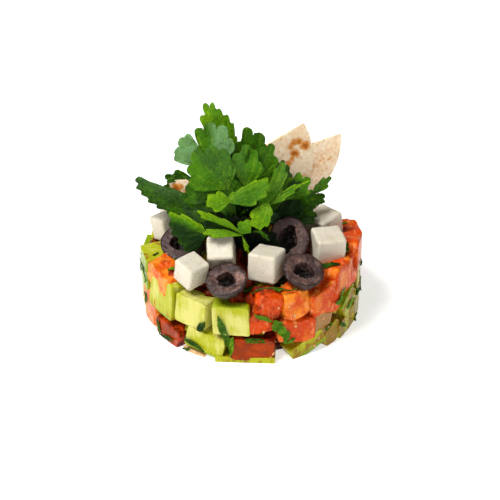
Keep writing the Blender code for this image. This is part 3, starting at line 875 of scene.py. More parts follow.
# painted shade: tomato darkens and cucumber turns olive away from the mould, in among the dice
INNER_SHADE_TONE = {TOMATO: -0.3, CUCUMBER: 0.25, ONION: 0.0}  # added to a tone away from the mould
TOP_SIZES = (10.5, 14.0)
TOP_TILT = 16.0
SCRAP_SIZES = (2.5, 6.0)
SCRAP_TILT = 40.0
SCRAP_RADII = (37.0, 44.0)
SCRAP_HEIGHTS = (1.5, 28.0)
TOP_SCRAP_HEIGHTS = (27.5, 30.5)
OPEN_CHINK = (9.0, 21.0, 8.0)   # first and last bearing of the open chink, and its height
TURN_BETWEEN = 137.5            # degrees from one scattered piece to the next


class Flesh(NamedTuple):
    """How a vegetable takes the knife, in shares of a piece's least edge.

    The fine share is how strong its fine bumps are beside its coarse ones.
    """

    rounding: float
    bumps: float
    fine_share: float


FIRM = Flesh(0.085, 0.022, 0.35)
SOFT = Flesh(0.2, 0.075, 0.5)
FLESH = {CUCUMBER: FIRM, TOMATO: SOFT, ONION: FIRM}
NO_PEEL = 9.0                   # a depth below the peel that is past all of its green
PRESSING = 0.94                 # the share of what stands out of the mould that it presses in
COARSE_BUMP = 0.45              # widths of the bumps, in least edges
FINE_BUMP = 0.14


@dataclass
class DicedDrum:
    """The drum: a wet core, dark with painted shade, under dice of cucumber, tomato and onion."""

    cuts: int = 19
    scrap_cuts: int = 3
    top_dice: int = 22
    top_reach: float = 37.0 * MM
    top_height: float = 31.0 * MM
    rim_drop: float = 3.0 * MM
    rim_start: float = 32.0 * MM
    rim_width: float = 6.0 * MM
    scraps: int = 260
    core_radius: float = 40.0 * MM
    core_height: float = 27.0 * MM
    seed: int = 11

    def __post_init__(self) -> None:
        """Start one mesh for each kind of piece."""
        self.rng = random.Random(self.seed)
        self.block = unit_block(self.cuts)
        self.small_block = unit_block(self.scrap_cuts)
        self.meshes = {kind: self.new_mesh() for kind in Kind}

    @staticmethod
    def new_mesh() -> bmesh.types.BMesh:
        """Return an empty bmesh that stores a tone and a depth below the skin."""
        bm = bmesh.new()
        bm.verts.layers.float.new("tone")
        bm.verts.layers.float.new("rind")
        return bm

    def wall_place(self, die: Die) -> Matrix:
        """Return the place of a die at the wall."""
        size = Vector((die.width, die.depth, die.tall)) * MM
        return (
            Matrix.Rotation(math.radians(die.bearing), 4, "Z")
            @ Matrix.Translation((0.0, -(RING_RADIUS - DIE_SINK * size.y), die.height * MM))
            @ turned(die.turn)
        )

    def add_die(self, die: Die, place: Matrix, block: bpy.types.Mesh, pressed: bool) -> None:
        """Add one diced piece, uneven as its kind is, and pressed flat by the mould.

        Args:
            die: its size and looks.
            place: where it lies.
            block: the mesh of a cube that it is shaped from.
            pressed: whether the mould flattens its outer side.
        """
        bm = self.meshes[die.kind]
        verts = append_mesh(bm, block)
        tone_layer = bm.verts.layers.float["tone"]
        rind_layer = bm.verts.layers.float["rind"]
        size = Vector((die.width, die.depth, die.tall)) * MM
        flesh = FLESH[die.kind]
        least = min(size)
        radius = flesh.rounding * least
        coarse = flesh.bumps * least
        seed = self.rng.uniform(0.0, 90.0)
        outward = on_bearing(die.bearing, 1.0, 0.0)
        axis, sign = die.skin.value
        for vert in verts:
            box_point = scaled(vert.co, size)
            point = rounded(box_point, size, radius)
            if die.crown:
                share = 1.0 - (2.0 * point.x / size.x) ** 2
                point.y -= die.crown * MM * share * max(-2.0 * point.y / size.y, 0.0)
            under = NO_PEEL
            if sign:
                under = (0.5 * size[axis] - sign * box_point[axis]) / MM + die.peeled
            point += roughly(point, COARSE_BUMP * least, seed) * coarse
            point += roughly(point, FINE_BUMP * least, seed) * coarse * flesh.fine_share
            point = place @ point
            beyond = point.dot(outward) - RING_RADIUS
            if pressed and beyond > 0.0:
                point -= outward * beyond * PRESSING
            point.z = max(point.z, 0.0)
            vert.co = point
            # painted shade: the tone darkens deeper in from the mould
            inner = ease((-beyond / MM - 1.0) / 9.0) if pressed else 0.0
            vert[tone_layer] = die.tone + INNER_SHADE_TONE[die.kind] * inner
            vert[rind_layer] = under

    def random_die(self, bearing: float, height: float, sizes: tuple[float, float],
                   tilt: float) -> Die:
        """Return a die of a random kind and look.

        Args:
            bearing: its bearing.
            height: the height of its middle.
            sizes: the smallest and the largest edge.
            tilt: the most that it is tilted.

        Returns:
            The die.
        """
        rng = self.rng
        kind = rng.choices(tuple(KIND_ODDS), tuple(KIND_ODDS.values()))[0]
        skin = rng.choice(SIDE_CHOICES)
        edges = [rng.uniform(*sizes) for _ in range(3)]
        turn = tuple(rng.uniform(-tilt, tilt) for _ in range(3))
        return Die(bearing, height, *edges, turn, kind, rng.uniform(*TONES), skin,
                   rng.choice(PEELED_CHOICES), crown=0.5)

    def add_wall(self) -> None:
        """Add the dice of the wall, those in front as listed and those behind in two rows."""
        for die in FRONT_DICE:
            self.add_die(die, self.wall_place(die), self.block, True)
        first, last = BACK_BEARINGS
        for row, height in enumerate(BACK_ROWS):
            bearing = first + BACK_STEP * (0.3 + 0.5 * (row % 2))
            while bearing < last - 5.0:
                lift = self.rng.uniform(-1.5, 1.5)
                die = self.random_die(bearing, height + lift, BACK_SIZES, BACK_TILT)
                if bearing > CUCUMBER_SIDE:
                    die = die._replace(kind=CUCUMBER)
                self.add_die(die, self.wall_place(die), self.block, True)
                bearing += BACK_STEP * self.rng.uniform(0.85, 1.15)

    def add_top(self) -> None:
        """Add dice over the top, on a spiral that fills the circle evenly."""
        for index in range(self.top_dice):
            radius = self.top_reach * math.sqrt((index + 0.5) / self.top_dice)
            bearing = TURN_BETWEEN * index
            die = self.random_die(bearing, 0.0, TOP_SIZES, TOP_TILT)
            # painted shade: the dice on top take the darkest tones, for the shade under the
            # toppings
            deep = self.rng.uniform(0.0, 0.1) + (1.2 if die.kind is CUCUMBER else 0.0)
            die = die._replace(tone=deep, skin=Side.NONE)
            height = self.top_height - 0.5 * die.tall * MM
            height += self.rng.uniform(-3.0, 0.0) * MM
            height -= self.rim_drop * ease((radius - self.rim_start) / self.rim_width)
            place = Matrix.Translation(on_bearing(bearing, radius, height)) @ turned(
                (die.turn[0], die.turn[1], self.rng.uniform(0.0, 90.0)))
            self.add_die(die, place, self.block, False)

    def add_scraps(self) -> None:
        """Fill the chinks between the dice with small bits of the same vegetables, in dark tones
        that are painted shade.
        """
        rng = self.rng
        for index in range(self.scraps):
            bearing = TURN_BETWEEN * index
            height = rng.uniform(*SCRAP_HEIGHTS)
            radius = rng.uniform(*SCRAP_RADII) * MM
            if index % 4 == 0:
                radius = SCRAP_RADII[1] * MM * math.sqrt(rng.uniform(0.0, 1.0))
                height = rng.uniform(*TOP_SCRAP_HEIGHTS)
            scrap = self.random_die(bearing, height, SCRAP_SIZES, SCRAP_TILT)
            # painted shade: the scraps take the darkest tones so the chinks look shaded
            deep = rng.uniform(0.0, 0.3) + (0.8 if scrap.kind is CUCUMBER else 0.0)
            scrap = scrap._replace(tone=deep, skin=Side.NONE, crown=0.0,
                                   turn=(rng.uniform(0, 90), rng.uniform(0, 90), 0.0))
            first, last, low = OPEN_CHINK
            if first < bearing % 360.0 < last and height < low:
                continue
            place = Matrix.Translation(on_bearing(bearing, radius, height * MM)) @ turned(
                scrap.turn)
            self.add_die(scrap, place, self.small_block, True)

    def build_core(self, material: bpy.types.Material) -> bpy.types.Object:
        """Build the lumpy core that shows in the chinks."""
        bm = bmesh.new()
        bmesh.ops.create_cone(
            bm, cap_ends=True, cap_tris=True, segments=96,
            radius1=self.core_radius, radius2=self.core_radius, depth=self.core_height,
            matrix=Matrix.Translation((0.0, 0.0, 0.5 * self.core_height)))
        bmesh.ops.subdivide_edges(bm, edges=bm.edges[:], cuts=9, use_grid_fill=True)
        for vert in bm.verts:
            share = ease(vert.co.z / (3.0 * MM))
            vert.co += roughly(vert.co, 6.0 * MM, 3.0) * 1.6 * MM * share
            vert.co.z = max(vert.co.z, 0.0)
        return finish_piece("drum_core", bm, material)

    def build(self, finishes: dict[Kind, bpy.types.Material],
              core: bpy.types.Material) -> list[bpy.types.Object]:
        """Build every piece of the drum.

        Args:
            finishes: the finish of each kind of piece.
            core: the core's finish.

        Returns:
            The drum's objects, of which the tomato dice stand for the frame's drum.
        """
        self.add_wall()
        self.add_top()
        self.add_scraps()
        pieces = []
        for kind, bm in self.meshes.items():
            replaces = ("salad_base",) if kind is TOMATO else ()
            pieces.append(finish_piece(f"{kind.value}_dice", bm, finishes[kind],
                                       replaces))
        pieces.append(self.build_core(core))
        return pieces


# ---------------------------------------------------------------- feta, olives, flatbread

@dataclass
class FetaCubes:
    """Cubes of feta, each shaped from the frame's own cube: finer, softer and chipped."""

    count: int = 9
    voxel: float = 0.32 * MM
    crumble: float = 0.16 * MM
    chips: float = 2.4 * MM
    chipped: float = 0.22
    fullness: float = 0.35 * MM
    smoothing: float = 0.3

    def build_cube(self, node: str, material: bpy.types.Material, seed: float) -> None:
        """Build one cube over its node.

        Args:
            node: the frame's cube.
            material: the finish.
            seed: gives the cube chips of its own.
        """
        bm = bmesh.new()
        bm.from_mesh(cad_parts[node].data)
        bmesh.ops.remove_doubles(bm, verts=bm.verts[:], dist=1e-6)
        bmesh.ops.dissolve_limit(bm, angle_limit=math.radians(1.0), verts=bm.verts[:],
                                 edges=bm.edges[:])
        helper = put("rough_cube", as_mesh("rough_cube", bm))
        remesh = helper.modifiers.new("Remesh", "REMESH")
        remesh.mode = "VOXEL"
        remesh.voxel_size = self.voxel
        depsgraph = bpy.context.evaluated_depsgraph_get()
        bm = bmesh.new()
        bm.from_mesh(helper.evaluated_get(depsgraph).to_mesh())
        bpy.data.objects.remove(helper, do_unlink=True)
        bmesh.ops.smooth_vert(bm, verts=bm.verts[:], factor=self.smoothing, use_axis_x=True,
                              use_axis_y=True, use_axis_z=True)
        bm.normal_update()
        low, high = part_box(node)
        middle = 0.5 * (low + high)
        reach = 0.5 * (high - low).length
        for vert in bm.verts:
            corner = ease(((vert.co - middle).length / reach - 1.0 + self.chipped)
                          / self.chipped)
            chip = max(roughly(vert.co, 2.6 * MM, seed).x - 0.1, 0.0) * corner
            wave = roughly(vert.co, 3.5 * MM, seed + 5.0).y
            grain = roughly(vert.co, 0.9 * MM, seed + 9.0).z
            vert.co -= vert.normal * (chip * self.chips)
            vert.co += vert.normal * (self.fullness + self.crumble * (wave + 0.45 * grain))
        finish_piece(node + "_crumb", bm, material, (node,))

    def build(self, material: bpy.types.Material) -> None:
        """Build every cube."""
        for number in range(1, self.count + 1):
            self.build_cube(f"feta_cube_{number:02d}", material, 7.0 * number)


class Olive(NamedTuple):
    """Half an olive: the middle of its cut face, where that looks, its radii and depth.

    The groove is how deep the ridges in its hollow are, the stretch how long the hollow is,
    and the pallor how pale the flesh is on the right and on the left: partly the flesh's own
    pale patches and partly a painted highlight on its lit side.
    """

    middle: Triple
    bearing: float
    rise: float
    radii: tuple[float, float]
    depth: float
    roll: float
    hollow: float = 0.46
    groove: float = 0.0
    stretch: float = 0.0
    pallor_and_highlight: tuple[float, float] = (1.0, 1.0)


OLIVE_HALVES = (
    Olive((-29.2, -13.0, 38.0), -14, 58, (9.6, 8.6), 8.5, 0, 0.5, pallor_and_highlight=(0.3, 0.3)),
    Olive((-10.2, -40.7, 36.5), -14, 68, (8.4, 8.4), 8.5, 0, 0.44, pallor_and_highlight=(1.9, 0.7)),
    Olive((16.0, -17.0, 41.8), 4, 44, (8.5, 9.8), 8.0, -8, 0.5, 0.6, 0.2, (0.9, 0.6)),
    Olive((21.7, -36.1, 38.0), 24, 64, (8.4, 8.4), 8.5, 0, 0.5),
    Olive((8.5, 37.0, 34.5), 168, 50, (8.0, 8.6), 8.0, 0),
    Olive((-21.8, 31.2, 34.8), 215, 46, (8.0, 8.0), 8.5, 0),
)


@dataclass
class OliveHalves:
    """Halved black olives, with a torn cut face and the rough hollow of the stone."""

    steps: int = 96
    dome_rings: int = 22
    face_rings: int = 10
    hollow_rings: int = 14
    hollow_depth: float = 0.62
    lip: float = 0.03
    uneven: float = 0.26
    ridge: float = 0.03
    wave: float = 0.4 * MM
    tear: float = 0.7 * MM
    grain: float = 0.16 * MM

    def profile(self, hollow: float) -> list[tuple[float, float, float, float]]:
        """Return half the section of an olive of radius and depth 1.

        Args:
            hollow: the radius of the hollow.

        Returns:
            For each point its radius, its height, how much it is cut flesh and how deep
            in the hollow it lies.
        """
        points = []
        for ring in range(self.dome_rings + 1):
            angle = 0.5 * math.pi * (1.0 - ring / self.dome_rings)
            points.append((math.cos(angle), -math.sin(angle), 0.0, 0.0))
        for ring in range(1, self.face_rings + 1):
            share = ring / self.face_rings
            radius = 1.0 - (1.0 - hollow) * share
            rise = self.lip * math.sin(math.pi * min(share * 1.6, 1.0))
            points.append((radius, rise, ease(3.0 * share), 0.0))
        for ring in range(1, self.hollow_rings + 1):
            angle = 0.5 * math.pi * ring / self.hollow_rings
            points.append((hollow * math.cos(angle) ** 0.7, -self.hollow_depth * math.sin(angle),
                           1.0, ease(1.6 * ring / self.hollow_rings)))
        return points

    def build_half(self, name: str, olive: Olive, material: bpy.types.Material,
                   seed: float) -> None:
        """Build one half.

        Args:
            name: the frame's node that it stands for.
            olive: its size and place.
            material: the finish.
            seed: gives the half wrinkles of its own.
        """
        bm = bmesh.new()
        cut = bm.verts.layers.float.new("cut")
        pit = bm.verts.layers.float.new("pit")
        pallor_and_highlight = bm.verts.layers.float.new("pallor_and_highlight")
        verts = []
        for radius, height, flesh, deep in self.profile(olive.hollow):
            vert = bm.verts.new((radius, 0.0, height))
            vert[cut] = flesh
            vert[pit] = deep
            verts.append(vert)
        edges = [bm.edges.new(pair) for pair in zip(verts, verts[1:])]
        bmesh.ops.spin(bm, geom=verts + edges, cent=(0.0, 0.0, 0.0), axis=(0.0, 0.0, 1.0),
                       angle=math.tau, steps=self.steps, use_merge=True)
        bmesh.ops.remove_doubles(bm, verts=bm.verts[:], dist=1e-4)
        scale = Vector((*olive.radii, olive.depth)) * MM
        place = (
            Matrix.Translation(Vector(olive.middle) * MM)
            @ Matrix.Rotation(math.radians(olive.bearing), 4, "Z")
            @ Matrix.Rotation(math.radians(90.0 - olive.rise), 4, "X")
            @ Matrix.Rotation(math.radians(olive.roll), 4, "Z")
        )
        bmesh.ops.recalc_face_normals(bm, faces=bm.faces)
        for vert in bm.verts:
            point = scaled(vert.co, scale)
            skin = 1.0 - vert[cut]
            across = math.hypot(vert.co.x, vert.co.y)
            ridges = roughly(Vector((point.x, point.y, 0.25 * point.z)), 1.5 * MM, seed).x
            waves = roughly(point, 5.0 * MM, seed + 3.0)
            point += waves * self.wave
            point -= Vector((point.x, point.y, 0.0)) * self.ridge * ridges * skin
            inner = ease((1.0 - across) / (1.0 - olive.hollow)) * vert[cut]
            # partly painted highlight: the flesh is paler on one side of the cut face
            right, left = olive.pallor_and_highlight
            vert[pallor_and_highlight] = left + (right - left) * ease(0.5 + 0.8 * vert.co.x)
            edge = Vector((vert.co.x, vert.co.y, 0.0)) / max(across, 0.05)
            bulge = roughly(edge, 0.8, seed + 5.0).x + 0.5 * roughly(edge, 0.25, seed + 6.0).y
            point *= 1.0 + self.uneven * bulge * inner
            point.x *= 1.0 - 0.6 * olive.stretch * inner
            point.y *= 1.0 + olive.stretch * inner
            torn = roughly(point, 1.7 * MM, seed + 8.0)
            point += torn * self.tear * vert[cut] * (0.35 + vert[pit])
            fine = roughly(point, 0.8 * MM, seed + 4.0)
            point += fine * self.grain * vert[cut]
            if olive.groove and vert[pit] > 0.0:
                point.z -= olive.groove * MM * abs(math.sin(9.0 * across))
            vert.co = place @ point
        finish_piece(name + "_flesh", bm, material, (name,))

    def build(self, material: bpy.types.Material) -> None:
        """Build every half."""
        for number, olive in enumerate(OLIVE_HALVES, start=1):
            self.build_half(f"olive_half_{number:02d}", olive, material, 4.3 * number)


class Wedge(NamedTuple):
    """A wedge of flatbread on edge: its point, bearing, upper slope, angle, radius and bow.

    The bow is how far its crust bends back, and the trim is how much shorter its lower cut
    is than its upper one.  Its toasted spots are given by the share of the angle from the
    upper cut, the share of the radius, their size in millimetres and how dark they are.
    """

    point: Triple
    bearing: float
    slope: float
    angle: float
    radius: float
    bow: float
    trim: float
    spots: tuple[tuple[float, float, float, float], ...]


BREAD_WEDGES = (
    Wedge((-8.1, 16.0, 61.4), 3, 29, 78, 35.6, 2.4, 0.0, (
        (0.19, 0.745, 1.9, 0.7), (0.15, 0.79, 2.0, 0.8), (0.15, 0.85, 2.1, 0.85),
        (0.22, 0.91, 2.2, 1.1),
        (0.28, 0.78, 2.2, 1.05), (0.34, 0.73, 1.7, 0.7), (0.4, 0.69, 1.7, 0.66),
        (0.46, 0.67, 1.8, 0.66),
        (0.35, 0.85, 3.0, 0.2))),
    Wedge((5.4, 19.3, 61.0), 4, 19, 80, 36.0, 0.6, 0.3, (
        (0.3, 0.72, 4.5, 0.3), (0.5, 0.68, 4.5, 0.32), (0.15, 0.6, 3.0, 0.3),
        (0.6, 0.5, 2.0, 0.45), (0.12, 0.9, 2.5, 0.22))),
    Wedge((-4.0, 11.5, 55.4), -4, -3, -62, 32.5, 1.0, 0.1, (
        (0.12, 0.92, 2.4, 1.1), (0.1, 0.84, 1.8, 0.8), (0.2, 0.8, 1.8, 0.6),
        (0.05, 0.7, 1.5, 0.45))),
)


@dataclass
class FlatbreadWedges:
    """Thin wedges of flatbread with blisters, toasted spots and a rounded crust."""

    columns: int = 84
    rings: int = 60
    thickness: float = 1.5 * MM
    thinning: float = 0.7
    rim_start: float = 0.7
    blister: float = 0.22 * MM

    @staticmethod
    def on_fan(angle: float, radius: float) -> Vector:
        """Return the point of a flat fan at an angle in radians and a radius."""
        return Vector((radius * math.sin(angle), radius * math.cos(angle), 0.0))

    def build_wedge(self, name: str, wedge: Wedge, material: bpy.types.Material,
                    seed: float) -> None:
        """Build one wedge.

        Args:
            name: the frame's node that it stands for.
            wedge: its size and place.
            material: the finish.
            seed: gives the wedge blisters of its own.
        """
        radius = wedge.radius * MM
        spread = math.radians(abs(wedge.angle))
        bm = bmesh.new()
        toast = bm.verts.layers.float.new("toast")
        bmesh.ops.create_grid(bm, x_segments=self.columns, y_segments=self.rings, size=1.0)
        for vert in bm.verts:
            turn = 0.5 * (vert.co.x + 1.0)
            share = 0.5 * (vert.co.y + 1.0)
            here = self.on_fan(turn * spread, share * radius)
            heat = 0.0
            for spot_turn, spot_share, size, dark in wedge.spots:
                there = self.on_fan(spot_turn * spread, spot_share * radius)
                gap = (here - there).length / (size * MM)
                heat = max(heat, dark * math.exp(-gap * gap))
            ragged = 1.0 + 0.006 * noise.noise((5.0 * turn, 0.0, seed)) * share
            angle = math.radians(wedge.slope) - turn * spread
            reach = share * radius * ragged * (1.0 - wedge.trim * turn)
            vert.co = Vector((reach * math.cos(angle), 0.0, reach * math.sin(angle)))
            vert[toast] = heat
        bmesh.ops.remove_doubles(bm, verts=bm.verts[:], dist=1e-6)
        raised = doubled(bm)
        for vert in bm.verts:
            share = math.hypot(vert.co.x, vert.co.z) / radius
            thin = 1.0 - self.thinning * ease((share - self.rim_start) / (1.0 - self.rim_start))
            puff = self.blister * roughly(vert.co, 7.0 * MM, seed).y
            puff += 0.4 * self.blister * roughly(vert.co, 2.4 * MM, seed).z
            side = 1.0 if vert in raised else -1.0
            vert.co.y = side * 0.5 * self.thickness * thin + puff
            vert.co.y += wedge.bow * MM * share * share
            if wedge.angle < 0:
                vert.co.x = -vert.co.x
        place = Matrix.Translation(Vector(wedge.point) * MM) @ Matrix.Rotation(
            math.radians(wedge.bearing), 4, "Z")
        bmesh.ops.transform(bm, matrix=place, verts=bm.verts[:])
        finish_piece(name + "_baked", bm, material, (name,), 60.0)

    def build(self, material: bpy.types.Material) -> None:
        """Build every wedge."""
        for number, wedge in enumerate(BREAD_WEDGES, start=1):
            self.build_wedge(f"flatbread_wedge_{number:02d}", wedge, material, 2.7 * number)


# ---------------------------------------------------------------- parsley

Lobes = tuple[tuple[float, float], ...]      # each lobe's angle and its reach along the leaf

LEAF_LAYERS = ("tint", "pale_back_and_sheen", "off", "reach")

BROAD: Lobes = ((-50, 0.84), (-31, 0.93), (-13, 1.0), (3, 0.97), (19, 1.02), (37, 0.92), (52, 0.8))
ROUND: Lobes = ((-31, 0.86), (-15, 0.97), (1, 1.0), (16, 0.94), (32, 0.84))
FINGER: Lobes = ((-13, 0.82), (-1, 1.0), (12, 0.86))


class Leaf(NamedTuple):
    """A leaf: its base and tip, what its upper side looks along, its outline and its bends.

    The notch is how deep the cuts between lobes are, as a share of a lobe's width, and the
    belly how far the sides bulge.
    The tints of its left and right halves run from deep green at 0 to lime at 1, and are partly
    painted light and shade: a lit half is tinted lighter, a shaded half darker, and a tint below 0
    is painted shade.  Its back sheen is a painted grey-blue sheen, partly a leaf's paler back, its
    rim light is how much lighter its edge is painted where light catches it, and its root is how
    much painted shade darkens it where it comes out of the tuft.
    """

    base: Triple
    tip: Triple
    bearing: float
    rise: float
    lobes: Lobes
    notch: float
    belly: float
    cup: float
    curl: float
    fold: float
    left: float = 0.4
    right: float = 0.4
    # painted sheen on each half, partly the paler back of a leaf
    back_sheen_left: float = 0.0
    back_sheen_right: float = 0.0
    # painted rim light: how much lighter the edge is tinted
    painted_rim_light: float = 0.0
    # painted shade: how much darker the leaf is tinted where it comes out of the tuft
    root: float = 0.0


class Sprig(NamedTuple):
    """A sprig: the points of its main stalk and its leaves."""

    stalk: tuple[Triple, ...]
    leaves: tuple[Leaf, ...]


